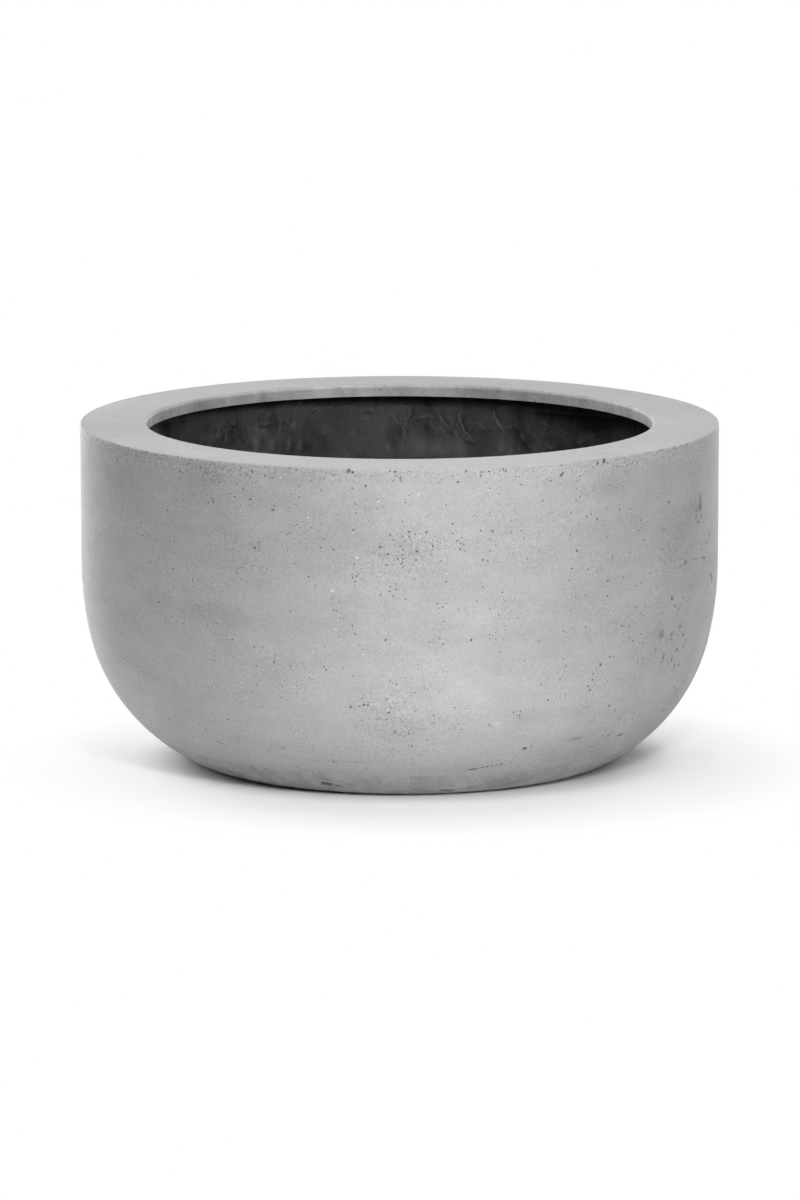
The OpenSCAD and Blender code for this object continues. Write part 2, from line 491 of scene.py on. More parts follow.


# Pits, chips, smears, stains, scratches and pale grains of the wall, really dented where they have a depth,
# with painted
# shade in the dents: bearing, height, half length, half width, depth, tilt, grime and sharpness, as the
# attributes of Mark
WALL_MARKS = (
    # Chips at the foot, where the mould closed, with a pale lip above the deepest
    (-17.9, 11.4, 7, 4.2, 1, -6), (-15.4, 10, 5, 2.4, 0.6, -10, 0.8), (10.8, 5.2, 9, 3.2, 0.5, -3, 0.8),
    (6.2, 5, 7, 2.2, 0.3, 0, 0.55, 1.6), (17, 7.6, 10, 2.4, 0.3, 4, 0.4, 1.5),
    (-2, 4.6, 12, 2, 0.2, 0, 0.3, 1.4), (11, 7.4, 7, 0.9, 0, 2, -0.5, 1.4),
    (9.4, 4.8, 3.3, 1, 0.4, -27, 0.6, 1.4), (11.7, 3.3, 4.9, 1.2, 0.9, 1, 0.95, 1.6),
    # A drag mark and the row of pits that it ends in
    (15.3, 28.6, 5.4, 1.6, 0.6, 12), (17.2, 29.8, 1.7, 1.2, 0.6, 10), (18.3, 30.5, 1.2, 1.2, 0.6),
    (19.3, 31.1, 1.2, 1.1, 0.6), (20.2, 31.6, 1.1, 1.1, 0.6), (21.2, 32.2, 1.8, 1.1, 0.6, 8),
    (13.2, 27.5, 5, 0.9, 0.2, 10, 0.3, 1.4),
    # Chips and fine scratches above the foot
    (25.2, 45.8, 2.6, 2.1, 1), (26.6, 47, 1.4, 1, 0.3, 30, 0.5), (50.4, 43.9, 5, 1.3, 0.5, 2),
    (46.3, 46.9, 6, 0.8, 0.3, 30, 0.7), (36.6, 49.8, 10, 2, 0.1, 0, 0.35, 1.2),
    (-38.9, 44.2, 6, 0.9, 0.4, -25, 0.7), (-9.8, 37.9, 26, 0.8, 0.15, 1, 0.35, 1.5),
    # On the right, a stain that runs down in two legs
    (66.6, 238.8, 5.4, 0.9, 0.05, -6, 0.4, 1.4), (67.2, 233.9, 4, 3.9, 0.05, -58, 0.6, 1.5),
    (67.2, 227.6, 5.6, 5.6, 0.05, 66, 0.8, 1.5), (65.4, 226.3, 3.1, 2.8, 0.05, 77, 0.6, 1.5),
    (65.2, 220.6, 4.1, 2.7, 0.05, -87, 0.55, 1.5), (67.8, 219.9, 3.6, 3, 0.05, 86, 0.55, 1.5),
    (66.3, 215.5, 4.7, 1.6, 0.05, -5, 0.65, 1.6),
    # A branching flow line below it, and short marks near the edge
    (73.2, 199.7, 3.7, 2.5, 0.05, -51, 0.6, 1.5), (71, 194.9, 10.5, 1, 0.05, 10, 0.5, 1.5),
    (68.3, 191, 2.8, 2.4, 0.05, 70, 0.55, 1.5), (69.5, 182.9, 6.9, 1.7, 0.05, -9, 0.75, 1.6),
    (65, 185.2, 14.4, 0.9, 0.05, -5, 0.45, 1.4), (60.9, 185.6, 4, 2.5, 0.05, 8, 0.75, 1.5),
    (59, 183.9, 4, 1.8, 0.05, 6, 0.42, 1.3), (57.2, 183.1, 5, 1.2, 0.05, 2, 0.3, 1.2),
    (74.6, 164.4, 6.1, 2.2, 0.1, -28, 0.75, 1.6), (75.6, 160.2, 3.5, 3.5, 0.1, -77, 0.75, 1.6),
    (72.6, 157, 4.9, 1.8, 0.05, -35, 0.4, 1.3), (49.2, 184.6, 3.1, 1.2, 0.05, -10, 0.38, 1.3),
    (59.5, 172.8, 2, 1.8, 0.05, -76, 0.4, 1.3), (51.2, 171.4, 2.5, 2.1, 0.05, -22, 0.3, 1.2),
    (54.8, 202.9, 2, 2, 0.05, -75, 0.4, 1.3), (57.5, 199.2, 1.9, 1.9, 0.05, -78, 0.4, 1.3),
    (52.2, 195.3, 5.3, 1.9, 0.05, -49, 0.25, 1.2),
    # Smears and open pores lower down on the right
    (53.5, 129.8, 5.1, 5.1, 0.1, 66, 0.5, 1.4), (52.5, 140.4, 2.5, 1.9, 0.05, 61, 0.5, 1.4),
    (59.8, 132.6, 2.6, 2.4, 0.1, -57, 0.7, 1.5), (61.5, 123.9, 3.2, 1.9, 0.2, -37, 0.75, 1.6),
    (63, 118.2, 2, 2, 0.1, -83, 0.55, 1.4), (56.9, 127.8, 4, 2.2, 0.05, -41, 0.55, 1.4),
    (56.8, 124.1, 3.2, 1.7, 0.05, 20, 0.5, 1.4), (55.6, 121.9, 2.5, 1.5, 0.05, 21, 0.4, 1.3),
    (60, 112.2, 2.9, 2, 0.3, 76, 0.75, 1.7), (55.2, 109.8, 3.1, 1.8, 0.2, 72, 0.8, 1.6),
    (55, 105.8, 1.8, 1.8, 0.2, -44, 0.6, 1.5), (58.6, 104.2, 3.4, 1.8, 0.2, -18, 0.7, 1.5),
    (60.4, 98, 3.8, 2.1, 0.1, -65, 0.65, 1.5), (62.1, 97.3, 2.3, 2, 0.2, -54, 0.85, 1.6),
    (60.3, 94.2, 2.4, 1.8, 0.05, -79, 0.4, 1.3), (62.5, 112.9, 1.8, 1.8, 0.1, -60, 0.55, 1.5),
    (66.3, 138.6, 2.6, 2.2, 0.05, 50, 0.5, 1.4), (63.7, 76.4, 1.9, 1.9, 0.2, -90, 0.75, 1.5),
    (65.5, 72.2, 2.4, 2.4, 0.2, 59, 0.7, 1.5), (68.8, 64.9, 3, 1.6, 0.1, -20, 0.6, 1.5),
    (69.1, 86.1, 2.6, 2.6, 0.05, -90, 0.45, 1.4), (69, 77, 2.9, 2.9, 0.05, 54, 0.42, 1.3),
    (64.2, 55.7, 3, 3, 0.1, 70, 0.6, 1.4), (56.1, 158.7, 2.3, 2.3, 0.3, 23, 0.95, 1.7),
    (57.2, 151.4, 1.9, 1.9, 0.2, -90, 0.8, 1.6), (58.5, 148.1, 1.8, 1.8, 0.2, -52, 0.65, 1.5),
    (59.2, 151.1, 3.1, 1.3, 0.05, -12, 0.4, 1.3), (60.2, 156.7, 1.7, 1.7, 0.1, -73, 0.6, 1.5),
    (58.3, 143.6, 2.1, 1.4, 0.05, -90, 0.38, 1.3), (45.5, 158.9, 2.2, 2, 0.05, -31, 0.5, 1.4),
    (48, 157.9, 1.3, 1.3, 0.1, -90, 0.6, 1.6), (48.6, 113.1, 1.7, 1.7, 0.1, 24, 0.6, 1.4),
    (47.2, 110.8, 4.6, 0.7, 0.05, 19, 0.3, 1.2),
    # Broken grains along the top arris
    (-8.7, 283.2, 2.2, 1.6, 0.7, 60), (-8, 282.2, 1.4, 1.2, 0.6), (28.8, 275.4, 2.8, 1.3, 0.6, 40),
    (37.6, 282.4, 2.4, 1.6, 0.6), (36.2, 281.4, 1.6, 1.2, 0.5), (48.5, 284.2, 6.1, 0.7, 0.3, 0, 0.5, 1.3),
    (51.8, 284.2, 7.3, 0.8, 0.3, 0, 0.55, 1.3), (56.4, 283.4, 2, 1.7, 0.4, -54, 0.7, 1.4),
    (60.8, 283.7, 2.8, 1.5, 0.3, -23, 0.6, 1.4), (37.7, 284.2, 2.6, 1.5, 0.5, 9, 0.8, 1.5),
    (35.4, 284.2, 2.4, 0.9, 0.3, 5, 0.5, 1.3), (-74.8, 284.2, 5.2, 0.8, 0.3, 0, 0.5, 1.3),
    (-68.1, 284.2, 4.7, 0.9, 0.3, 0, 0.5, 1.3), (-60.5, 284.2, 6.4, 1.1, 0.3, -3, 0.5, 1.3),
    (-58.7, 284.2, 5.2, 0.9, 0.3, 0, 0.5, 1.3), (-55.5, 284.2, 4.7, 0.9, 0.3, 0, 0.5, 1.3),
    (-59.2, 271.6, 2.1, 1.8, 0.3, -77, 0.7, 1.4), (-66.2, 279.5, 2, 2, 0.1, -82, 0.35, 1.2),
    (-49.8, 284.2, 2.6, 1.2, 0.3, -6, 0.5, 1.3), (-41.7, 284.2, 1.9, 1.2, 0.3, -6, 0.5, 1.3),
    (-38.8, 283.3, 2.4, 0.9, 0.3, 0, 0.5, 1.3), (-37.4, 284.5, 1.9, 1.1, 0.3, -5, 0.6, 1.3),
    (-45.3, 283.8, 6.1, 0.6, 0.2, 0, 0.4, 1.3),
    # White grains, and a soft pale fleck
    (-11.5, 185.7, 1.2, 1, 0, 0, -1), (-7.2, 213.2, 1, 0.9, 0, 0, -0.9),
    (-3.6, 258.9, 0.9, 0.8, 0, 0, -0.8), (18.1, 72.2, 3, 2.6, 0, 40, -0.45, 1.2),
    (5.2, 222.2, 2.4, 1.2, 0, 30, -0.3, 1.2), (3.2, 264.5, 2.6, 1.4, 0, 60, -0.4, 1.2),
)

# Short brush strokes and hairlines of the rim: bearing, distance from the axis, and the rest as above
RIM_MARKS = (
    (49.2, 227.8, 3.6, 2.2, 0.2, 52, 0.4, 1.4), (52.2, 236.6, 8.4, 1.2, 0.15, 16, 0.22, 1.4),
    (41.8, 250.3, 4.2, 2, 0.2, 33, 0.42, 1.4), (41.8, 237.8, 4.6, 1.6, 0.15, 54, 0.25, 1.4),
    (113.8, 236.3, 4.3, 1.6, 0.15, -71, 0.2, 1.4), (98.4, 239.7, 7.7, 2.9, 0.1, -26, 0.16, 1.4),
    (68.4, 230.2, 6.3, 1.6, 0.15, 59, 0.18, 1.4), (72.4, 244.8, 4.8, 1.7, 0.15, 36, 0.22, 1.4),
    (-94.8, 242.3, 3.9, 2.1, 0.25, 68, 0.5, 1.4), (-69.4, 252.1, 2, 2.4, 0.2, 78, 0.3, 1.4),
    (-68.8, 250.6, 12.8, 1.4, 0.15, 82, 0.2, 1.4), (-60.7, 243.9, 4, 1.6, 0.15, -87, 0.22, 1.4),
    (-62.6, 228.8, 6, 1, 0.15, -8, 0.16, 1.4), (118.8, 243.2, 5, 1.4, 0.25, -35, 0.4, 1.5),
)

# Single pits of the wall, nearly round, half as deep as their radius and darkened with painted shade:
# bearing, height and radius in mm
PITS = (
    (-41.3, 272.5, 1.2), (-34.9, 250.2, 1.0), (-33.8, 250.5, 0.9), (-26.4, 256.5, 1.1), (-22.2, 275.1, 1.0),
    (-22.2, 248.9, 1.1), (-25.6, 216.9, 1.3), (-46.8, 162.1, 1.2), (-25.9, 135.6, 1.1), (-30.2, 140.0, 0.9),
    (-54.3, 64.9, 1.0), (-41.0, 55.7, 1.1), (-34.0, 69.0, 1.1), (-23.6, 47.9, 1.2), (-51.6, 224.8, 1.1),
    (-44.4, 239.4, 1.0), (-47.3, 212.2, 0.9), (-5.8, 271.2, 1.2), (-0.8, 283.0, 1.2), (0.1, 278.6, 1.0),
    (9.9, 274.1, 1.2), (11.3, 282.4, 1.0), (15.3, 281.8, 1.1), (18.3, 281.4, 1.2), (8.8, 279.0, 0.8),
    (2.9, 218.6, 1.4), (1.6, 234.4, 1.1), (-1.6, 232.0, 1.1), (4.5, 234.1, 1.2), (-3.3, 222.2, 1.2),
    (-2.0, 216.4, 1.2), (-0.3, 212.6, 1.0), (0.2, 208.5, 0.9), (2.8, 211.7, 1.0), (5.6, 222.9, 1.1),
    (12.3, 145.5, 1.2), (9.8, 226.5, 1.1), (10.4, 224.6, 0.9), (10.9, 223.6, 0.8), (-7.9, 235.6, 1.0),
    (14.3, 210.3, 0.9), (15.1, 209.3, 0.8), (15.9, 233.5, 1.1), (54.7, 240.0, 1.4), (36.1, 236.3, 1.2),
    (41.3, 241.1, 1.2), (31.9, 212.0, 1.4), (38.7, 184.2, 1.3), (42.4, 185.4, 1.0), (46.6, 230.0, 0.9),
    (44.0, 240.5, 0.9), (52.8, 201.6, 1.2), (51.3, 245.6, 1.0), (52.9, 217.9, 1.0), (32.5, 255.8, 0.8),
    (38.0, 114.6, 1.7), (39.9, 120.2, 1.2), (45.3, 130.4, 1.0), (47.2, 127.4, 0.9), (48.2, 126.0, 1.0),
    (42.3, 76.2, 1.6), (44.4, 70.0, 1.2), (35.8, 97.6, 1.2), (36.4, 93.8, 1.2), (-8.8, 89.3, 1.3),
    (-7.2, 90.2, 1.0), (-6.4, 91.3, 1.5), (-5.7, 91.1, 1.2), (-2.4, 146.6, 1.2), (-2.0, 84.6, 1.3),
    (-1.1, 66.5, 1.1),
)

MARKS = (*(Mark(Side.WALL, *row) for row in WALL_MARKS), *(Mark(Side.RIM, *row) for row in RIM_MARKS),
         *(Mark(Side.WALL, b, z, r, 0.85 * r, 0.5 * r, 20.0, 0.95) for b, z, r in PITS))

# Cloudy patches of the wall, darker where the amount is negative. Some of them are painted light and shade:
# the wall is darker high up on the left, paler low down on the front and the left, and paler in a band along
# the right edge.
WALL_TONES_AND_SHADING = tuple(Tone(*row) for row in (
    (-35.5, 276, 17, 12, -0.11), (-58, 256, 60, 30, -0.06), (-30, 221, 22, 13, -0.06),
    (-46, 162, 26, 8, -0.10), (-36, 159, 24, 9, -0.12), (-27.5, 155, 28, 8, -0.08),
    (-19, 158, 24, 6, -0.04), (-17, 279, 26, 8, -0.07), (-12, 235, 32, 17, -0.04), (2, 220, 12, 8, -0.05),
    (39, 201, 66, 48, -0.05), (46, 222, 30, 11, -0.04), (65.6, 229, 14, 17, -0.12),
    (52.8, 133, 11, 6, -0.12), (58, 110, 20, 22, -0.06), (36.7, 50, 14, 4, -0.12), (36, 85, 8, 22, -0.07),
    (33, 138, 34, 11, -0.05), (22.7, 72, 12, 10, -0.06), (0, 65, 20, 10, -0.05), (-36, 249, 11, 8, 0.09),
    (-58.6, 164, 36, 18, 0.05), (13.8, 160, 18, 9, 0.06), (10.7, 95, 32, 36, 0.045), (1, 268, 18, 12, 0.06),
    (12, 237, 24, 13, 0.05), (-24, 138, 24, 10, 0.05), (-15.5, 110, 11, 9, 0.05), (-38, 99, 26, 11, 0.04),
    (62.5, 222, 8, 12, -0.06), (57, 213, 14, 12, -0.05), (64.6, 164, 12, 10, -0.05),
    (-33, 268, 44, 12, -0.10), (2, 273, 120, 8, -0.03), (2, 45, 120, 34, 0.09), (4, 112, 60, 26, 0.05),
    (-44, 46, 26, 22, 0.06), (-80, 264, 74, 44, -0.26), (74, 108, 24, 34, 0.18), (-76, 120, 34, 44, 0.10),
    (95, 190, 74, 90, 0.12), (62.5, 227, 16, 8, -0.06), (58.6, 213, 20, 8, -0.07),
    (64.1, 165, 16, 4, -0.08), (50, 262, 70, 22, -0.09), (-36, 252, 40, 22, -0.05), (10, 92, 150, 30, 0.09),
    (-30, 60, 60, 20, 0.05), (-25, 33, 44, 12, 0.16), (-56, 68, 50, 34, 0.12), (8, 122, 40, 22, 0.08),
    (-36, 258, 26, 18, -0.07), (56, 190, 30, 44, -0.06), (66, 135, 14, 24, 0.10), (60, 105, 26, 18, 0.06),
    (38, 38, 40, 14, -0.07), (38, 262, 16, 12, -0.10), (62, 225, 22, 36, -0.07), (0, 225, 230, 62, -0.04),
    (0, 118, 230, 44, 0.05), (-36, 42, 50, 14, 0.08), (38, 34, 44, 16, -0.06),
))

# Blotches of the lip's upright face, which was wiped down by hand, with painted light that makes it paler
# across the back and painted shade that darkens its right part
LIP_TONES_AND_SHADING = tuple(Tone(*row) for row in (
    (180, 279, 150, 30, 0.16), (-158, 279, 30, 30, 0.05), (-171, 278, 12, 6, 0.08), (174, 279, 16, 5, 0.10),
    (160.5, 279, 20, 9, -0.16), (150, 279, 40, 20, -0.14), (139, 279, 22, 9, -0.20),
    (-128, 279, 20, 12, -0.12), (-140, 278, 9, 4, -0.10), (-166, 276, 10, 2.5, -0.10),
    (-147, 276, 12, 2.5, -0.12),
))

# Places where fine pinholes crowd together
CROWDS = tuple(Tone(*row) for row in (
    (3, 223, 26, 18, 0.75), (-1, 205, 18, 18, 0.45), (-2, 92, 22, 18, 0.65), (0, 66, 24, 22, 0.7),
    (58, 112, 18, 20, 0.7), (38, 92, 16, 16, 0.4), (26, 228, 40, 22, 0.2), (-20, 66, 10, 6, 0.6),
    (-30, 262, 40, 14, 0.35), (-150, 180, 60, 40, 0.4), (130, 90, 50, 40, 0.45), (178, 230, 40, 25, 0.5),
    (-95, 120, 40, 30, 0.35), (-50, 280, 76, 7, 0.8), (-33, 277, 22, 8, 0.5), (40, 279, 40, 6, 0.5),
    (25.4, 18.9, 12, 5, 0.9), (-27, 206, 30, 30, 0.25), (-8, 176, 22, 8, 0.35),
))

# Runs of resin and folds of the mat on the far side of the hollow, seen over the front of the rim
RUNS = tuple(Run(*row) for row in (
    # The funnel, its stem and the folds beside it
    (((179.4, 241.3), (179.3, 236.9), (179.2, 231.2)), 0.9, 0.8),
    (((179.5, 226.3), (179.7, 218.2)), 1.3, 0.4),
    (((-179.9, 240.1), (180, 235.3), (179.9, 230.4)), 2, -0.8),
    (((178.7, 240.1), (178.6, 235.3), (178.4, 231.2)), 1.5, -0.7),
    (((177.2, 260), (177.4, 252.3), (178.1, 245.8), (178.6, 242.6)), 1.1, -0.9),
    (((-178.6, 249.8), (-179.5, 244.2), (179.6, 240.9)), 0.8, 0.7),
    (((177.9, 258.7), (177.9, 252.3), (178.6, 245.8), (179.1, 241.7)), 0.8, 0.6),
    # The eye-shaped fold
    (((177, 246.6), (175.9, 248.7), (174.7, 250.4), (173.4, 250.1)), 0.9, 0.6),
    (((178, 243), (176.6, 245.4), (175.2, 247.1)), 0.9, -0.6),
    (((175.7, 236.2), (174.3, 237.9), (172.9, 238)), 0.9, -0.4),
    (((175.9, 256.8), (175.2, 254.8), (174, 254.1), (173.1, 256.2)), 1, -0.6),
    (((172.7, 239.6), (172.5, 243.7), (172.7, 247.7)), 1, -0.4),
    # Curtain of runs right of the middle
    (((172.8, 255), (172, 249.4), (171.1, 243.8), (170.5, 239)), 0.8, 0.9),
    (((172, 246.2), (171.6, 239.7), (170.7, 230.9)), 0.9, 0.5),
    (((172, 252.6), (171.3, 247), (170.6, 243.1)), 0.8, -0.6),
    (((171.3, 240.6), (170.6, 235), (169.5, 232.7)), 1.6, -0.5),
    (((167.7, 256.4), (168.1, 249.8), (167.9, 244.2), (167.2, 238.7), (166.5, 233.9),
      (165.3, 228.4)), 0.8, 1),
    (((167.3, 251.6), (167.4, 245.9), (166.9, 240.3), (166.1, 234)), 0.9, -0.8),
    (((168.7, 249.8), (168.9, 240.8)), 0.8, -0.7), (((168.9, 238.4), (168.7, 231.2)), 1.1, 0.7),
    (((168.2, 255.5), (168.4, 250.6), (168.7, 244.1), (168.9, 238.4)), 0.7, 0.6),
    (((167.7, 230.5), (166.8, 226.6), (165, 224.1)), 0.9, -0.8),
    (((167.3, 233.8), (166.4, 229.9), (165.3, 227.6)), 1.6, 0.5),
    (((166.1, 250.9), (165.3, 247.8), (165, 243.9)), 0.9, -0.4),
    (((164.8, 245.5), (163.5, 241.7), (162.8, 239.4)), 1.4, 0.4),
    (((164.4, 235.9), (163.1, 236.9), (161.9, 238.8)), 1, -0.5),
    (((163.3, 249.8), (162.2, 249.6), (161.3, 247.8)), 0.8, 0.3),
    # The slanted run and its shadow
    (((161.3, 255.9), (160.9, 250.3), (160.2, 245.6), (159.4, 241), (159.1, 236.6)), 0.8, 1.2),
    (((160.9, 256.8), (160.1, 250.5), (159.7, 247.3)), 1.2, -0.9),
    (((158.3, 239.6), (157.8, 236.5)), 1.4, -0.5), (((159.6, 230.4), (159.6, 219.1)), 2.6, 0.5),
    (((157.8, 253.5), (156.8, 250.5), (156.2, 246.6)), 0.6, 0.3),
    # Faint wrinkles on the right
    (((151.5, 248.4), (150.4, 248.8), (149.4, 245.1)), 0.8, 0.5),
    (((150.1, 232.4), (149.3, 227.4), (148.1, 225.9)), 0.8, 0.6),
    (((154.6, 233.4), (154.2, 225.4), (153.3, 220.9)), 2.4, -0.4),
    (((152.3, 229.3), (152.5, 221.1)), 1.4, 0.4), (((153.3, 237), (151.3, 235.2)), 0.9, 0.3),
    (((145.4, 239.7), (144.8, 238.4)), 1.2, -0.3),
    # Folds left of the middle
    (((-166.4, 261), (-167.9, 260)), 1.2, -0.9), (((-161.6, 258.6), (-161.9, 258.2)), 0.9, -0.6),
    (((-162.4, 256.5), (-162.7, 253.2), (-163.3, 256.3)), 0.9, -0.7),
    (((-164.8, 254.8), (-166.4, 254.9)), 0.8, -0.5),
    (((-162.6, 258), (-164, 256.1), (-164.8, 257.6)), 0.8, 0.5),
    (((-169.5, 256.1), (-169.6, 252.1)), 0.8, -0.5),
    (((-172.7, 251.8), (-173.2, 253.7), (-174.3, 252.4), (-174.4, 250)), 0.9, -0.8),
    (((-171.6, 247), (-173, 248.5), (-173.7, 247.2)), 0.9, 0.6),
    (((-177.8, 249), (-178.4, 247.4)), 1, -0.6), (((-171.3, 239.8), (-171.8, 233.2)), 1.5, -0.5),
    (((-157.9, 249), (-158.1, 246.5)), 1.1, -0.9), (((-158.5, 248.4), (-158.7, 240.3)), 1.6, 0.6),
    (((-160.2, 246.6), (-160.3, 246.2)), 0.5, 1.6), (((-157.6, 233.4), (-157.4, 221.3)), 1.8, 0.6),
    (((-159.9, 230.4), (-159.7, 219.9)), 1.8, 0.6), (((-158.6, 229.1), (-158.5, 220.2)), 1.8, -0.5),
    (((-160.9, 223.7), (-161.6, 224.3)), 2.6, -0.6), (((-153.5, 245.4), (-154.1, 245.6)), 1, -0.8),
    (((-154.9, 247.8), (-155.2, 243.7)), 1.2, -0.8), (((-156.2, 249), (-156.4, 244.2)), 1.3, -0.8),
    (((-165.5, 244.6), (-164.8, 234.2)), 2.6, 0.35), (((-177.5, 225.6), (-177.8, 217.5)), 2.2, 0.6),
    # Wrinkles on the left
    (((-150.7, 250.7), (-151.5, 249.6)), 0.8, -0.6),
    (((-150.9, 245), (-152.5, 244.1), (-154.2, 245.4)), 0.9, -1),
    (((-151.1, 247.3), (-152.7, 247.2), (-154, 248)), 0.7, 0.5),
    (((-153.8, 257.1), (-155, 256.9)), 0.7, -0.6),
    (((-137.7, 248.6), (-138.6, 245.8), (-139.8, 249.2), (-140.3, 254.6)), 1.2, -0.8),
    (((-141.6, 250.9), (-141.8, 244.4), (-141, 237.5)), 0.8, 0.7),
    (((-142.7, 248), (-143.7, 242.4), (-143.5, 234.9)), 0.9, 0.6),
    (((-143.1, 251.1), (-143.2, 245.4)), 1.1, -0.7), (((-142.8, 240), (-142.9, 234.3)), 1, -0.7),
    (((-142.2, 244.2), (-142, 236.3)), 0.8, 0.4),
    (((-144, 249.1), (-145.2, 246.4), (-146.3, 247.8), (-146.4, 252.2)), 0.9, -0.9),
    (((-144.6, 252.1), (-145.5, 250.5), (-145.8, 249.2)), 0.7, 0.7),
    (((-146.9, 242.4), (-146.9, 236), (-148.1, 231.5)), 1, -0.6),
    (((-145.9, 237.1), (-146.7, 229.6)), 0.8, 0.4), (((-150.3, 245.2), (-149.5, 239)), 0.9, 0.4),
    (((-148.7, 240.1), (-148.5, 236.2)), 1, -0.5), (((-140.1, 241.9), (-140.3, 238.7)), 0.9, 0.5),
    (((-143.4, 237.3), (-143.5, 235.3)), 0.8, 0.9),
))

# Places there where the mat crumpled under the roller
CRUMPLES = tuple(Tone(*row) for row in (
    (180, 250.6, 8, 9, 1), (169.9, 247.9, 7, 7, 0.9), (174.3, 242.1, 12, 7, 0.35),
    (166.8, 240.2, 13, 12, 0.5), (-142.6, 244.5, 17, 11, 0.7), (-145.4, 249.6, 10, 6, 0.8),
    (-152.4, 246.3, 16, 5, 0.4), (-163.6, 256.1, 13, 4, 0.6), (-168.1, 257.2, 13, 4, 0.5),
    (-173.3, 251.2, 8, 5, 0.8), (-156.1, 246.1, 9, 6, 0.5), (-147.5, 237.2, 12, 8, 0.5),
    (150.1, 247.9, 9, 6, 0.4), (149.4, 228.4, 12, 5, 0.4), (159.8, 245.2, 14, 11, 0.25),
))

# Paler and darker places there: painted shade darkens the wall high up at both sides, under the lip, painted
# light makes it paler low in the middle, and small patches make it dustier or darker here and there
DUST_LIGHT_AND_SHADE = tuple(Tone(*row) for row in (
    (-176, 240, 80, 42, 0.32), (171.3, 219.7, 41, 12, 0.85), (176, 217.9, 5, 4, 0.25),
    (172.6, 219.5, 4, 5, 0.2), (-179.1, 224.7, 5, 6, -0.3), (-179.7, 217.4, 55, 6, 0.1),
    (159.6, 224.4, 4, 5, 0.25), (180, 251.9, 8, 8, 0.3), (169.6, 248.9, 7, 7, 0.15),
    (174.3, 241.2, 9, 6, -0.25), (-164.8, 237.8, 5, 9, 0.15), (-161.1, 224.1, 6, 6, -0.3),
    (-157.2, 231.4, 10, 13, 0.1), (169, 236.3, 9, 6, -0.1), (156, 240.7, 9, 20, -0.15),
    (154, 228.7, 6, 7, -0.2), (157.2, 231.4, 5, 9, 0.1), (147.6, 241.6, 10, 13, 0.1),
    (143.2, 245.1, 10, 11, -0.1), (-147.3, 241.7, 16, 8, -0.15), (-168.1, 250.9, 27, 6, -0.05),
    (139, 258, 34, 16, -0.7), (148, 263, 26, 6, -0.5), (134, 245, 16, 16, -0.3), (-127, 256, 14, 14, -0.6),
    (156, 250, 20, 22, -0.2), (160, 263, 30, 5, -0.35), (-132, 262, 22, 6, -0.5), (-171, 258, 60, 7, 0.12),
    (148, 256, 22, 14, -0.45), (152, 262, 20, 6, -0.3), (139, 251, 14, 10, -0.4), (-133, 262, 14, 8, -0.4),
    (-146, 267, 30, 4, -0.4),
))


# Finishes


@dataclass(frozen=True)
class Layer:
    """One scale of cloudiness.

    Attributes:
        size_mm: The size of its patches.
        squash: How many times wider than high they are.
        strength: How much they change the tone.
        detail: How many finer scales lie over it.
    """
    size_mm: float
    squash: float
    strength: float
    detail: float = 3.0

    def lay(self, node: AddNode, spot: Socket, roughness: float,
            shift: float = 0.0) -> tuple[Socket, Socket]:
        """Adds the layer's nodes.

        Args:
            node: Adds a node to the material.
            spot: The place on the piece.
            roughness: How rough the clouds' outlines are.
            shift: How far the pattern is moved along X.

        Returns:
            The clouds from 0 to 1, and the tone that they add.
        """
        at = node("Mapping", {"Vector": spot, "Scale": (1, 1, self.squash), "Location": (shift, 0, 0)})
        cloud = node("TexNoise", {
            "Vector": at, "Scale": 1000 / self.size_mm, "Detail": self.detail, "Roughness": roughness})
        swing = 2 * self.strength
        return cloud, node("MapRange", {
            "Value": cloud, "From Min": 0.25, "From Max": 0.75, "To Min": -swing, "To Max": swing},
            clamp=False)


@dataclass(frozen=True)
class PinholeLayer:
    """Pinholes of one size.

    Attributes:
        size_mm: Their largest diameter.
        spacing_mm: The size of the cells that may each hold one.
        share: The share of cells that do.
        crowded: How much that share grows where pinholes crowd.
        depth: How deep they are, from 0 to 1, which also sets how dark their painted shade is.
    """
    size_mm: float
    spacing_mm: float
    share: float
    crowded: float
    depth: float


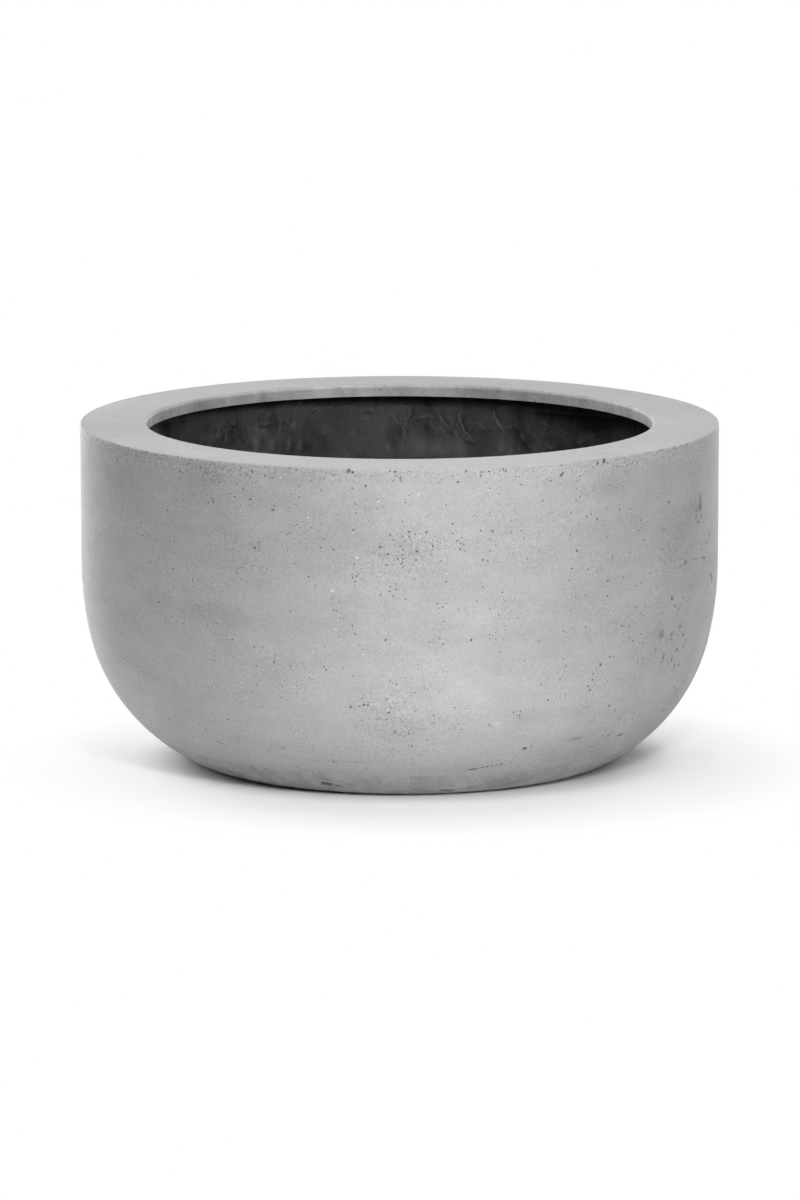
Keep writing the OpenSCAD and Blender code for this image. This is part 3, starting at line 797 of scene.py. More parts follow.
@dataclass(frozen=True)
class Fibrestone:
    """Cast fibrestone: cement and stone powder with chopped glass fibre, cast in a mould and rubbed down.

    It gives the eye a matt pale grey with clouds, long faint smears, a fine sandy grain, and the pinholes
    that air leaves against the mould.

    Attributes:
        shade: Its colour where the tone is darkest.
        pale: Its colour where the tone is palest.
        pinhole: The colour of the painted shade inside a pinhole.
        speck: The colour of a grain of white stone.
        stain_and_shade: The colour of a stain, and of the painted shade in a dent.
        moulded_roughness: Roughness of the wall, which took the gloss of the mould.
        rubbed_roughness: Roughness of the rim, which was rubbed down.
        layers: Its clouds, from the widest to the grain.
        pinholes: Its pinholes, by size.
        lip_mottle: The blotches of the lip's upright face.
        patch_mm: The size of the places where the paste closed up or stayed open.
        speck_mm: The spacing of the cells that may each hold a white grain.
        tone_range: The tone at which the colour is palest; negated, the tone at which it is darkest.
    """
    shade: str = "#8B8B8B"
    pale: str = "#D6D6D6"
    pinhole: str = "#333333"
    speck: str = "#F4F4F4"
    stain_and_shade: str = "#3C3C3C"
    moulded_roughness: float = 0.66
    rubbed_roughness: float = 0.77
    layers: tuple[Layer, ...] = (
        Layer(150, 1.6, 0.05), Layer(55, 3.0, 0.03), Layer(18, 1.8, 0.02), Layer(5, 1.2, 0.018, 2.0),
        Layer(1.7, 1.0, 0.06, 1.0),
    )
    pinholes: tuple[PinholeLayer, ...] = (
        PinholeLayer(1.9, 6.0, 0.10, 0.35, 1.0), PinholeLayer(1.6, 2.5, 0.04, 0.42, 0.9),
        PinholeLayer(1.0, 1.4, 0.03, 0.5, 0.6),
    )
    lip_mottle: tuple[Layer, ...] = (Layer(40, 0.4, 0.10), Layer(13, 0.5, 0.10))
    patch_mm: float = 34.0
    speck_mm: float = 11.0
    tone_range: float = 0.43

    def material(self) -> bpy.types.Material:
        """Builds the finish.

        Returns:
            The material.
        """
        material, node = new_material("fibrestone_cast")
        spot = node("TexCoord", out="Object")
        up = node("SeparateXYZ", {0: spot}, "Z")
        # The tone attribute holds random clouds together with painted light and shade
        tone, crowd, stain_and_dent_shade = (node("Attribute", out="Fac", attribute_name=name)
                              for name in ("tone", "crowd", "stain_and_dent_shade"))
        rim = node("MapRange", {
            "Value": up, "From Min": BODY.height - 1.4 * MM, "From Max": BODY.height - 0.2 * MM})
        # Pinholes and grain are uneven: in places the paste closed up against the mould, or it stayed open
        patch = node("TexNoise", {
            "Vector": spot, "Scale": 1000 / self.patch_mm, "Detail": 2.5, "Roughness": 0.6,
            "Distortion": 0.4})
        patch = node("MapRange", {"Value": patch, "From Min": 0.44, "From Max": 0.66},
                     interpolation_type="SMOOTHSTEP")
        crowd = node("Math", {0: patch, 1: 0.4, 2: crowd}, operation="MULTIPLY_ADD")
        # The clouds of every size add up, and the finest, the grain, is stronger where pinholes crowd
        for layer in self.layers:
            relief, part = layer.lay(node, spot, 0.55, layer.size_mm * 0.37)
            if layer is self.layers[-1]:
                grainy = node("MapRange", {"Value": crowd, "To Min": 0.7, "To Max": 2.0})
                part = node("Math", {0: part, 1: grainy}, operation="MULTIPLY")
            tone = node("Math", {0: tone, 1: part}, operation="ADD")
        # The rim was rubbed down, so it keeps less of them
        calm = node("MapRange", {"Value": rim, "To Min": 1.0, "To Max": 0.55})
        tone = node("Math", {0: tone, 1: calm}, operation="MULTIPLY")
        # The upright face of the lip was wiped down by hand and kept more of its blotches
        flat = node("VectorMath", {0: spot, 1: (1, 1, 0)}, operation="MULTIPLY")
        reach = node("VectorMath", {0: flat}, "Value", operation="LENGTH")
        lip = node("MapRange", {
            "Value": reach, "From Min": BODY.opening_r + 2.5 * MM, "From Max": BODY.opening_r + MM})
        for layer in self.lip_mottle:
            part = layer.lay(node, spot, 0.6)[1]
            tone = node("Math", {0: part, 1: lip, 2: tone}, operation="MULTIPLY_ADD")
        share = node("MapRange", {
            "Value": tone, "From Min": -self.tone_range, "From Max": self.tone_range})
        colour = node("Mix", {0: share, 6: linear(self.shade), 7: linear(self.pale)}, 2, data_type="RGBA")
        holes = self.prick(node, spot, crowd, rim)
        # Pinholes are darkened with painted shade
        hole_shade = node("Math", {0: holes, 1: 0.95}, operation="MULTIPLY")
        # A few grains of white stone show at the surface
        cell = node("TexVoronoi", {"Vector": spot, "Scale": 1000 / self.speck_mm}, "Color")
        luck = node("SeparateColor", {0: cell}, 2)
        there = node("Math", {0: luck, 1: 0.25}, operation="LESS_THAN")
        grain = node("MapRange", {
            "Value": cell.node.outputs["Distance"], "From Min": 0.085, "From Max": 0.04, "To Max": 0.6},
            interpolation_type="SMOOTHSTEP")
        grain = node("Math", {0: grain, 1: there}, operation="MULTIPLY")
        # Stains and the painted shade of the dents darken the colour, and a negative mark is a pale grain
        white = node("Math", {0: stain_and_dent_shade, 1: -1.0}, operation="MULTIPLY", use_clamp=True)
        for amount, tint in ((hole_shade, self.pinhole), (grain, self.speck), (stain_and_dent_shade, self.stain_and_shade),
                             (white, self.speck)):
            colour = node("Mix", {0: amount, 6: colour, 7: linear(tint)}, 2, data_type="RGBA")
        height = node("Math", {0: relief, 1: 0.12, 2: 0.5}, operation="MULTIPLY_ADD")
        height = node("Math", {0: height, 1: holes}, operation="SUBTRACT")
        bump = node("Bump", {"Strength": 0.6, "Distance": 0.6 * MM, "Height": height})
        # The wall took the gloss of the mould; the rim was rubbed down afterwards and is duller
        rough = node("MapRange", {
            "Value": rim, "To Min": self.moulded_roughness, "To Max": self.rubbed_roughness})
        shader = node("BsdfPrincipled", {
            "Base Color": colour, "Roughness": rough, "Specular IOR Level": 0.5, "Normal": bump})
        node("OutputMaterial", {"Surface": shader})
        return material

    def prick(self, node: AddNode, spot: Socket, crowd: Socket, rim: Socket) -> Socket:
        """Adds the pinholes: each cell of a pattern may hold one, more often where they crowd.

        Args:
            node: Adds a node to the material.
            spot: The place on the piece.
            crowd: How much the pinholes crowd there.
            rim: 1 on the rim, which has hardly any.

        Returns:
            How deep in a pinhole each point is, from 0 to 1.
        """
        bare = node("MapRange", {"Value": rim, "To Min": 1.0, "To Max": 0.2})
        holes = None
        for row, pin in enumerate(self.pinholes):
            at = node("Mapping", {"Vector": spot, "Location": (0.013 * row, 0.007, 0.003 * row)})
            cell = node("TexVoronoi", {"Vector": at, "Scale": 1000 / pin.spacing_mm}, "Color")
            luck, size = node("SeparateColor", {0: cell}).node.outputs[:2]
            chance = node("Math", {0: crowd, 1: pin.crowded, 2: pin.share}, operation="MULTIPLY_ADD")
            chance = node("Math", {0: chance, 1: bare}, operation="MULTIPLY")
            there = node("Math", {0: luck, 1: chance}, operation="LESS_THAN")
            widest = pin.size_mm / pin.spacing_mm
            reach = node("MapRange", {"Value": size, "To Min": 0.22 * widest, "To Max": 0.5 * widest})
            core = node("Math", {0: reach, 1: 0.7}, operation="MULTIPLY")
            hole = node("MapRange", {
                "Value": cell.node.outputs["Distance"], "From Min": reach, "From Max": core},
                interpolation_type="SMOOTHSTEP")
            for factor in (there, pin.depth):
                hole = node("Math", {0: hole, 1: factor}, operation="MULTIPLY")
            holes = hole if holes is None else node("Math", {0: holes, 1: hole}, operation="MAXIMUM")
        return holes


@dataclass(frozen=True)
class GlassFibreLaminate:
    """Glass-fibre mat laid by hand in dark filled resin, never seen closely and so left as it set.

    It gives the eye a dull near-black skin in soft patches, with folds of the mat and runs of resin. The
    strands of the mat, about 1.5 mm apart, just stand through the resin.

    Attributes:
        wet: Its colour where the resin stayed wet longest.
        dusty: Its colour where dust lies.
        ridge: The colour of the painted highlight on crests and ridges.
        fold: The colour of the painted shade in folds and hollows.
        roughness: Its middle roughness.
        blotch_mm: The size of its soft patches.
        drip_mm: The width of the drips in them.
        crease_mm: The size of the pattern that its creases follow.
        creased_patch_mm: The size of the places that are creased.
        crumple_mm: The size of the creases' pattern in a crumpled place.
        strand_mm: The size of the strands' pattern, which has about two strands in it.
    """
    wet: str = "#262626"
    dusty: str = "#626262"
    ridge: str = "#A0A0A0"
    fold: str = "#0C0C0C"
    roughness: float = 0.62
    blotch_mm: float = 48.0
    drip_mm: float = 14.0
    crease_mm: float = 24.0
    creased_patch_mm: float = 70.0
    crumple_mm: float = 7.0
    strand_mm: float = 3.0

    @staticmethod
    def crease(node: AddNode, pattern: Socket, width: float) -> Socket:
        """Draws a thin line wherever a pattern crosses its middle.

        Args:
            node: Adds a node to the material.
            pattern: The pattern, from 0 to 1.
            width: Half the line's width, as a share of the pattern's range.

        Returns:
            1 along the lines, and 0 away from them.
        """
        off = node("Math", {0: pattern, 1: 0.5}, operation="SUBTRACT")
        near = node("Math", {0: off}, operation="ABSOLUTE")
        return node("MapRange", {"Value": near, "From Min": width, "From Max": 0.0},
                    interpolation_type="SMOOTHSTEP")

    def material(self) -> bpy.types.Material:
        """Builds the finish.

        Returns:
            The material.
        """
        material, node = new_material("glass_fibre_laminate")
        spot = node("TexCoord", out="Object")
        ridge_highlight, fold_shade, crumple, dust_light_and_shade = (node("Attribute", out="Fac", attribute_name=name)
                                       for name in ("ridge_highlight", "fold_shade", "crumple", "dust_light_and_shade"))
        blotch = node("TexNoise", {
            "Vector": spot, "Scale": 1000 / self.blotch_mm, "Detail": 5.0, "Roughness": 0.55,
            "Distortion": 0.9})
        tall = node("Mapping", {"Vector": spot, "Scale": (1.0, 1.0, 0.35)})
        drip = node("TexNoise", {
            "Vector": tall, "Scale": 1000 / self.drip_mm, "Detail": 3.0, "Roughness": 0.55,
            "Distortion": 0.5})
        both = node("Math", {0: blotch, 1: 2.2, 2: drip}, operation="MULTIPLY_ADD")
        both = node("Math", {0: both, 1: dust_light_and_shade}, operation="ADD")
        share = node("MapRange", {"Value": both, "From Min": 1.1, "From Max": 2.1}, clamp=False)
        # Below the wet colour the mix reaches darker still, for the painted shade under the lip
        share = node("Math", {0: share, 1: -0.15}, operation="MAXIMUM")
        colour = node("Mix", {0: share, 6: linear(self.wet), 7: linear(self.dusty)}, 2,
                      data_type="RGBA", clamp_factor=False)
        # The mat creased in patches
        coarse = node("TexNoise", {
            "Vector": spot, "Scale": 1000 / self.crease_mm, "Detail": 2.0, "Roughness": 0.5,
            "Distortion": 1.5})
        line = self.crease(node, coarse, 0.030)
        patch = node("TexNoise", {"Vector": spot, "Scale": 1000 / self.creased_patch_mm, "Detail": 1.0})
        patch = node("MapRange", {"Value": patch, "From Min": 0.50, "From Max": 0.62},
                     interpolation_type="SMOOTHSTEP")
        crease = node("Math", {0: line, 1: patch}, operation="MULTIPLY")
        # Crumpled places have finer creases, a few mm apart, with a painted highlight on their ridges and
        # painted shade between
        tight = node("TexNoise", {
            "Vector": spot, "Scale": 1000 / self.crumple_mm, "Detail": 2.5, "Roughness": 0.6,
            "Distortion": 2.0})
        ridges = self.crease(node, tight, 0.07)
        hollows = node("MapRange", {"Value": tight, "From Min": 0.44, "From Max": 0.32},
                       interpolation_type="SMOOTHSTEP")
        fine, hollow = (node("Math", {0: part, 1: crumple}, operation="MULTIPLY")
                        for part in (ridges, hollows))
        # Crests, creases, ridges and raised runs get a painted highlight; hollows, folds and sunk runs get
        # painted shade
        pale = node("Math", {0: crease, 1: 0.16, 2: ridge_highlight}, operation="MULTIPLY_ADD")
        pale = node("Math", {0: fine, 1: 0.55, 2: pale}, operation="MULTIPLY_ADD")
        pale = node("Math", {0: pale, 1: 0.4}, operation="MULTIPLY", use_clamp=True)
        fold_shade = node("Math", {0: hollow, 1: 0.6, 2: fold_shade}, operation="MULTIPLY_ADD")
        fold_shade = node("Math", {0: fold_shade, 1: 0.6}, operation="MULTIPLY", use_clamp=True)
        for amount, tint in ((pale, self.ridge), (fold_shade, self.fold)):
            colour = node("Mix", {0: amount, 6: colour, 7: linear(tint)}, 2, data_type="RGBA")
        height = node("TexNoise", {
            "Vector": spot, "Scale": 1000 / self.strand_mm, "Detail": 3.0, "Roughness": 0.6,
            "Distortion": 1.5})
        for part, amount in ((drip, 2.0), (crease, 0.8), (fine, 0.8)):
            height = node("Math", {0: part, 1: amount, 2: height}, operation="MULTIPLY_ADD")
        bump = node("Bump", {"Strength": 0.7, "Distance": 0.8 * MM, "Height": height})
        rough = node("MapRange", {
            "Value": blotch, "From Min": 0.3, "From Max": 0.7, "To Min": self.roughness - 0.12,
            "To Max": self.roughness + 0.15})
        shader = node("BsdfPrincipled", {
            "Base Color": colour, "Roughness": rough, "Specular IOR Level": 0.2, "Normal": bump})
        node("OutputMaterial", {"Surface": shader})
        return material


@dataclass(frozen=True)
class MouldedRubber:
    """Black rubber from a steel mould: a soft even sheen, with pale dust on what faces up."""
    body: str = "#1B1B1B"
    dust: str = "#4A4A48"
    roughness: float = 0.58
    dusty_roughness: float = 0.85
    cloud_mm: float = 6.0
    grain_mm: float = 0.8

    def material(self) -> bpy.types.Material:
        """Builds the finish.

        Returns:
            The material.
        """
        material, node = new_material("moulded_rubber")
        spot = node("TexCoord", out="Object")
        facing = node("SeparateXYZ", {0: spot.node.outputs["Normal"]}, "Z")
        cloud = node("TexNoise", {"Vector": spot, "Scale": 1000 / self.cloud_mm, "Detail": 4.0})
        dusty = node("Math", {0: facing, 1: cloud}, operation="MULTIPLY")
        dusty = node("MapRange", {"Value": dusty, "From Min": 0.35, "From Max": 0.75, "To Max": 0.6})
        colour = node("Mix", {0: dusty, 6: linear(self.body), 7: linear(self.dust)}, 2, data_type="RGBA")
        grain = node("TexNoise", {"Vector": spot, "Scale": 1000 / self.grain_mm, "Detail": 2.0})
        bump = node("Bump", {"Strength": 0.35, "Distance": 0.08 * MM, "Height": grain})
        rough = node("MapRange", {"Value": dusty, "To Min": self.roughness, "To Max": self.dusty_roughness})
        shader = node("BsdfPrincipled", {"Base Color": colour, "Roughness": rough, "Normal": bump})
        node("OutputMaterial", {"Surface": shader})
        return material


@dataclass(frozen=True)
class SheetRubber:
    """Rubber sheet punched into discs: near-black and dull, with the weave of the cloth it cured against."""
    body: str = "#141414"
    rubbed: str = "#2C2C2B"
    roughness: float = 0.78
    cloud_mm: float = 9.0
    weave_mm: float = 1.0

    def material(self) -> bpy.types.Material:
        """Builds the finish.

        Returns:
            The material.
        """
        material, node = new_material("sheet_rubber")
        spot = node("TexCoord", out="Object")
        cloud = node("TexNoise", {"Vector": spot, "Scale": 1000 / self.cloud_mm, "Detail": 4.0})
        colour = node("Mix", {0: cloud, 6: linear(self.body), 7: linear(self.rubbed)}, 2, data_type="RGBA")
        # A wave texture makes 20 / (2 pi) bands in each unit of its scale
        bands = 1000 / self.weave_mm * math.tau / 20
        warp, weft = (node("TexWave", {"Vector": spot, "Scale": bands}, "Fac", bands_direction=way)
                      for way in ("X", "Y"))
        weave = node("Math", {0: warp, 1: weft}, operation="MULTIPLY")
        bump = node("Bump", {"Strength": 0.5, "Distance": 0.15 * MM, "Height": weave})
        shader = node("BsdfPrincipled", {
            "Base Color": colour, "Roughness": self.roughness, "Normal": bump})
        node("OutputMaterial", {"Surface": shader})
        return material


# The planter's pieces


@dataclass
class FaceShell:
    """The pale cast face: base, large corner, wall, flat rim and short lip, 4 mm thick.

    Attributes:
        finish: Its material.
        steps: Faces round the axis.
        waviness_mm: The size of its hand-made unevenness.
        waves: The waves of that: how many go round, their start, their lean with height, and their share.
        wavy_r: Radius at which they begin.
        wavy_rise: The width over which they grow.
        foot_drift_mm: How far the foot sits to the right of the rim, as it came from the mould.
        drift_top: Height at which that drift ends.
        drift_r: Radius at which it begins, so that the drain hole stays in its place.
        drift_rise: The width over which it grows.
        cuts: The passes that make faces finer: the margin round a mark in mm, and whether smears count.
        smear_deep_mm: A mark shallower than this is a smear, if it is also wide.
        smear_wide_mm: Half the width of the narrowest smear.
        thick_mm: How far from the mark's middle, through the face, faces are cut.
        dent_mm: How far through the face a dent reaches, less than its thickness.
        stain: How dark a stain, and the painted shade in a dent, is at most.
        pitted_z: Height at which the top arris begins, which is more pitted.
        pitted_rise: The height over which that grows.
        pitted_r: Radius beyond which that holds.
        pitted: How much more pitted it is.
    """
    finish: Fibrestone
    steps: int = 384
    waviness_mm: float = 0.25
    waves: tuple[tuple[int, float, float, float], ...] = (
        (2, 0.4, 9.0, 0.5), (3, 1.9, -14.0, 0.4), (5, 4.2, 22.0, 0.25), (7, 2.2, -31.0, 0.18))
    wavy_r: float = 0.19
    wavy_rise: float = 0.03
    foot_drift_mm: float = 2.6
    drift_top: float = 0.14
    drift_r: float = 0.10
    drift_rise: float = 0.07
    cuts: tuple[tuple[float, bool], ...] = ((2.3, True), (0.75, False))
    smear_deep_mm: float = 0.1
    smear_wide_mm: float = 1.7
    thick_mm: float = 2.0
    dent_mm: float = 1.6
    stain: float = 0.85
    pitted_z: float = 0.272
    pitted_rise: float = 0.006
    pitted_r: float = 0.26
    pitted: float = 0.55

    def build(self) -> bpy.types.Object:
        """Models the face as one closed shell, with its pits really dented.

        Returns:
            The face's object.
        """
        s = BODY
        pen = SectionPen(s.drain_r, s.pad_t)
        pen.line(s.foot_r(0), s.pad_t, 4, support=MM)
        pen.arc(s.corner_x, s.corner_z, s.foot_angle(0) - s.turn, 41)
        pen.arc(s.shoulder_x, s.shoulder_z, s.turn, 12)
        pen.line(s.wall_r, s.height - s.outer_arris_r, 26, support=MM)
        pen.arc(s.wall_r - s.outer_arris_r, s.height - s.outer_arris_r, math.pi / 2, 6)
        pen.line(s.opening_r + s.inner_arris_r, s.height, 12, support=MM)
        pen.arc(s.opening_r + s.inner_arris_r, s.height - s.inner_arris_r, math.pi / 2, 8)
        pen.line(s.opening_r, s.lip_z, 3, support=0.5 * MM)
        pen.line(s.opening_r + s.face_t, s.lip_z, 2)
        pen.line(s.opening_r + s.face_t, s.height - s.face_t, 1)
        pen.line(s.wall_r - s.face_t, s.height - s.face_t, 2)
        pen.line(s.wall_r - s.face_t, s.shoulder_z, 2)
        pen.arc(s.shoulder_x, s.shoulder_z, -s.turn, 2)
        pen.arc(s.corner_x, s.corner_z, s.turn - s.foot_angle(s.face_t), 6)
        pen.line(s.drain_r, s.pad_t + s.face_t, 1)
        pen.close()
        bm = pen.revolve(self.steps)
        self.refine(bm)
        made = place_object(bm, "face_shell_cast")
        self.shape(made.data)
        return made

    def refine(self, bm: bmesh.types.BMesh) -> None:
        """Cuts the faces round the marks finely enough to dent them.

        Args:
            bm: The face's bmesh.
        """
        for margin_mm, smears in self.cuts:
            faces = bm.faces[:]
            centres = np.array([face.calc_center_median() for face in faces])
            near = np.zeros(len(faces), bool)
            for mark in MARKS:
                wide_mm = min(mark.wide_mm, mark.long_mm)
                if not smears and mark.deep_mm < self.smear_deep_mm and wide_mm > self.smear_wide_mm:
                    continue
                u, v, w = mark.place(centres)
                u, v = u / (mark.long_mm + margin_mm), v / (mark.wide_mm + margin_mm)
                near |= (u * u + v * v < 1) & (np.abs(w) < self.thick_mm)
            cut_finer(bm, faces, near, 2)

    def shape(self, mesh: bpy.types.Mesh) -> None:
        """Makes the face uneven, dents it, and paints where it is cloudy, pitted or stained, with painted
        light and shade among its clouds and painted shade in its dents.

        Args:
            mesh: The face's mesh.
        """
        co = corners_of(mesh)
        flat = co.copy()
        reach = np.hypot(co[:, 0], co[:, 1])
        around = np.arctan2(co[:, 1], co[:, 0])
        outside = fade((reach - self.wavy_r) / self.wavy_rise)
        wave = sum(np.sin(n * around + start + lean * co[:, 2]) * share
                   for n, start, lean, share in self.waves)
        swell = 1 + wave * outside * self.waviness_mm * MM / np.maximum(reach, 0.01)
        co[:, 0] *= swell
        co[:, 1] *= swell
        low = np.clip(1 - flat[:, 2] / self.drift_top, 0, 1) ** 2.5
        low *= fade((reach - self.drift_r) / self.drift_rise)
        co[:, 0] += low * self.foot_drift_mm * MM
        # Each dent is darkened with painted shade, and each flat stain with its own colour
        stain_and_dent_shade = np.zeros(len(co))
        for mark in MARKS:
            u, v, w = mark.place(flat)
            u, v = u / mark.long_mm, v / mark.wide_mm
            ragged = 1 + 0.25 * np.sin(5.1 * u + 3.3 * v + mark.bearing) * np.sin(4.3 * v - 2.1 * u)
            inside = fade((1 - np.sqrt(u * u + v * v) * ragged) * mark.edge) * (w > -self.dent_mm)
            co -= np.outer(inside * mark.deep_mm * MM, np.array(mark.axes()[3]))
            stain = inside * mark.stain_and_dent_shade * self.stain
            stain_and_dent_shade = np.where(np.abs(stain) > np.abs(stain_and_dent_shade), stain, stain_and_dent_shade)
        move_corners(mesh, co)
        lip = (reach < BODY.opening_r + 2.4 * MM) & (flat[:, 2] > BODY.lip_z - MM)
        # The tones hold random clouds and blotches together with painted light and shade
        paint(mesh, "tone", np.where(lip, tone_field(flat, LIP_TONES_AND_SHADING), tone_field(flat, WALL_TONES_AND_SHADING)))
        arris = self.pitted * fade((flat[:, 2] - self.pitted_z) / self.pitted_rise) * (reach > self.pitted_r)
        paint(mesh, "crowd", tone_field(flat, CROWDS) + arris)
        paint(mesh, "stain_and_dent_shade", stain_and_dent_shade)

    def dress(self, made: bpy.types.Object) -> None:
        """Gives the face its finish and its place on the planter's body.

        Args:
            made: The face's object.
        """
        made.data.materials.append(self.finish.material())
        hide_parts("face_shell")
        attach(made, "planter")


@dataclass
class InnerLaminate:
    """The dark laminate behind the face, 6.5 mm thick, sagged and wrinkled on the side that shows.

    Attributes:
        finish: Its material.
        steps: Faces round the axis.
        wrinkle_mm: The size of its sags and wrinkles.
        sag: Waves in a metre of its sags, along x, y and z.
        wrinkle: The same of its wrinkles.
        pucker: The same of the small puckers on them.
        seat_mm: The width round the drain hole that is kept flat for the stopper's flange.
        near_mm: How far from the inner wall's radius a point may be to lie on it.
        run_edge: A run's faces are made finer where it is fuller than this.
        crumple_edge: The same for a crumpled place.
        crumple_mm: How high the ridges of a crumpled place stand.
        ridges: Ridges in a metre there.
        grit: Waves in a metre of the roughness on those ridges.
    """
    finish: GlassFibreLaminate
    steps: int = 448
    wrinkle_mm: float = 1.1
    sag: tuple[float, float, float] = (24.0, 24.0, 20.0)
    wrinkle: tuple[float, float, float] = (55.0, 55.0, 42.0)
    pucker: tuple[float, float, float] = (140.0, 140.0, 110.0)
    seat_mm: float = 12.0
    near_mm: float = 2.0
    run_edge: float = 0.004
    crumple_edge: float = 0.12
    crumple_mm: float = 0.9
    ridges: float = 150.0
    grit: float = 420.0

    @property
    def inner_r(self) -> float:
        """Radius of the inner wall."""
        return BODY.wall_r - BODY.skin_t

    def build(self) -> bpy.types.Object:
        """Models the laminate as one closed shell.

        Returns:
            The laminate's object.
        """
        s = BODY
        start_z = s.pad_t + s.face_t
        pen = SectionPen(s.drain_r, start_z)
        pen.line(s.foot_r(s.face_t), start_z, 1)
        pen.arc(s.corner_x, s.corner_z, s.foot_angle(s.face_t) - s.turn, 8)
        pen.arc(s.shoulder_x, s.shoulder_z, s.turn, 2)
        pen.line(s.wall_r - s.face_t, s.height - s.face_t, 2)
        pen.line(s.opening_r + s.face_t, s.height - s.face_t, 2)
        pen.line(s.opening_r + s.face_t, s.lip_z, 1)
        pen.line(s.wall_r - s.skin_t - s.under_rim_r, s.lip_z, 8)
        pen.arc(s.wall_r - s.skin_t - s.under_rim_r, s.lip_z - s.under_rim_r, -math.pi / 2, 8)
        pen.line(s.wall_r - s.skin_t, s.shoulder_z, 32)
        pen.arc(s.shoulder_x, s.shoulder_z, -s.turn, 14)
        pen.arc(s.corner_x, s.corner_z, s.turn - s.foot_angle(s.skin_t), 36)
        pen.line(s.drain_r, s.pad_t + s.skin_t, 24)
        pen.close()
        bm = pen.revolve(self.steps)
        self.refine(bm)
        made = place_object(bm, "inner_laminate_laid")
        self.shape(made.data)
        return made

    def refine(self, bm: bmesh.types.BMesh) -> None:
        """Cuts the inner wall's faces finely enough to carry the runs and folds.

        Args:
            bm: The laminate's bmesh.
        """
        faces = bm.faces[:]
        centres = np.array([face.calc_center_median() for face in faces])
        near = tone_field(centres, CRUMPLES) > self.crumple_edge
        for run in RUNS:
            near |= run.fill(centres, self.inner_r) > self.run_edge
        near &= np.abs(np.hypot(centres[:, 0], centres[:, 1]) - self.inner_r) < self.near_mm * MM
        cut_finer(bm, faces, near, 3)

    def shape(self, mesh: bpy.types.Mesh) -> None:
        """Sags and wrinkles the side of the laminate that shows, and paints a highlight on its crests and
        shade in its folds.

        Args:
            mesh: The laminate's mesh.
        """
        s = BODY
        co = corners_of(mesh)
        flat = co.copy()
        normals = np.empty(len(mesh.vertices) * 3)
        mesh.vertices.foreach_get("normal", normals)
        normals = normals.reshape(-1, 3)
        # The wrinkles' crests get a painted highlight
        ridge_highlight = np.zeros(len(co))
        sag, wrinkle, pucker = Vector(self.sag), Vector(self.wrinkle), Vector(self.pucker)
        for i, spot in enumerate(map(Vector, flat)):
            reach = spot.xy.length
            if reach < s.drain_r + self.seat_mm * MM or spot.z > s.lip_z - MM:
                continue
            if not self.shows(reach, spot.z):
                continue
            soft = noise.noise(spot * sag)
            fold = 1 - abs(noise.noise(spot * wrinkle + Vector((3, 0, 0)))) * 4.2
            fold += 0.6 * noise.noise(spot * pucker + Vector((0, 0, 5)))
            fold = max(fold, 0.0) * max(0.0, min(1.0, soft * 1.6 + 0.45))
            lift = 0.45 * soft + 0.6 * fold
            co[i] += normals[i] * lift * self.wrinkle_mm * MM
            ridge_highlight[i] = min(max(fold - 0.45, 0.0) * 0.9, 1.0)
        reach = np.hypot(flat[:, 0], flat[:, 1])
        on_wall = np.abs(reach - self.inner_r) < self.near_mm * MM
        on_wall &= flat[:, 2] < s.lip_z - s.under_rim_r
        inwards = flat * (-1, -1, 0) / np.maximum(reach, MM)[:, None]
        # Raised runs get a painted highlight, and sunk runs painted shade
        fold_shade = np.zeros(len(co))
        for run in RUNS:
            full = run.fill(flat, self.inner_r) * on_wall
            co += inwards * (full * run.lift_mm * MM)[:, None]
            if run.lift_mm > 0:
                ridge_highlight = np.maximum(ridge_highlight, full * run.lift_mm)
            else:
                fold_shade = np.maximum(fold_shade, full * -run.lift_mm)
        crumple = np.clip(tone_field(flat, CRUMPLES), 0, 1) * on_wall
        for i in np.nonzero(crumple > 0.05)[0]:
            spot = Vector(flat[i])
            ridge = 1 - abs(noise.noise(spot * self.ridges)) * 3.4 + 0.5 * noise.noise(spot * self.grit)
            co[i] += inwards[i] * (max(ridge, 0.0) - 0.4) * crumple[i] * self.crumple_mm * MM
        move_corners(mesh, co)
        paint(mesh, "ridge_highlight", ridge_highlight)
        paint(mesh, "fold_shade", fold_shade)
        paint(mesh, "crumple", crumple)
        paint(mesh, "dust_light_and_shade", tone_field(flat, DUST_LIGHT_AND_SHADE) * on_wall)

    @staticmethod
    def shows(reach: float, z: float) -> bool:
        """Says whether a point of the laminate is on its inner side, which the hollow shows.

        Args:
            reach: The point's distance from the axis.
            z: Its height.

        Returns:
            True on the inner side, which is more than 1 mm clear of the face.
        """
        s = BODY
        back = s.face_t + MM
        if z < s.pad_t + back:
            return False
        if z > s.shoulder_z:
            return reach < s.wall_r - back
        if reach < s.corner_x:
            return True
        if z > s.turn_z:
            return math.hypot(reach - s.shoulder_x, z - s.shoulder_z) < s.shoulder_r - back
        return math.hypot(reach - s.corner_x, z - s.corner_z) < s.corner_r - back

    def dress(self, made: bpy.types.Object) -> None:
        """Gives the laminate its finish and its place on the planter's body.

        Args:
            made: The laminate's object.
        """
        made.data.materials.append(self.finish.material())
        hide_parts("inner_laminate")
        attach(made, "planter")


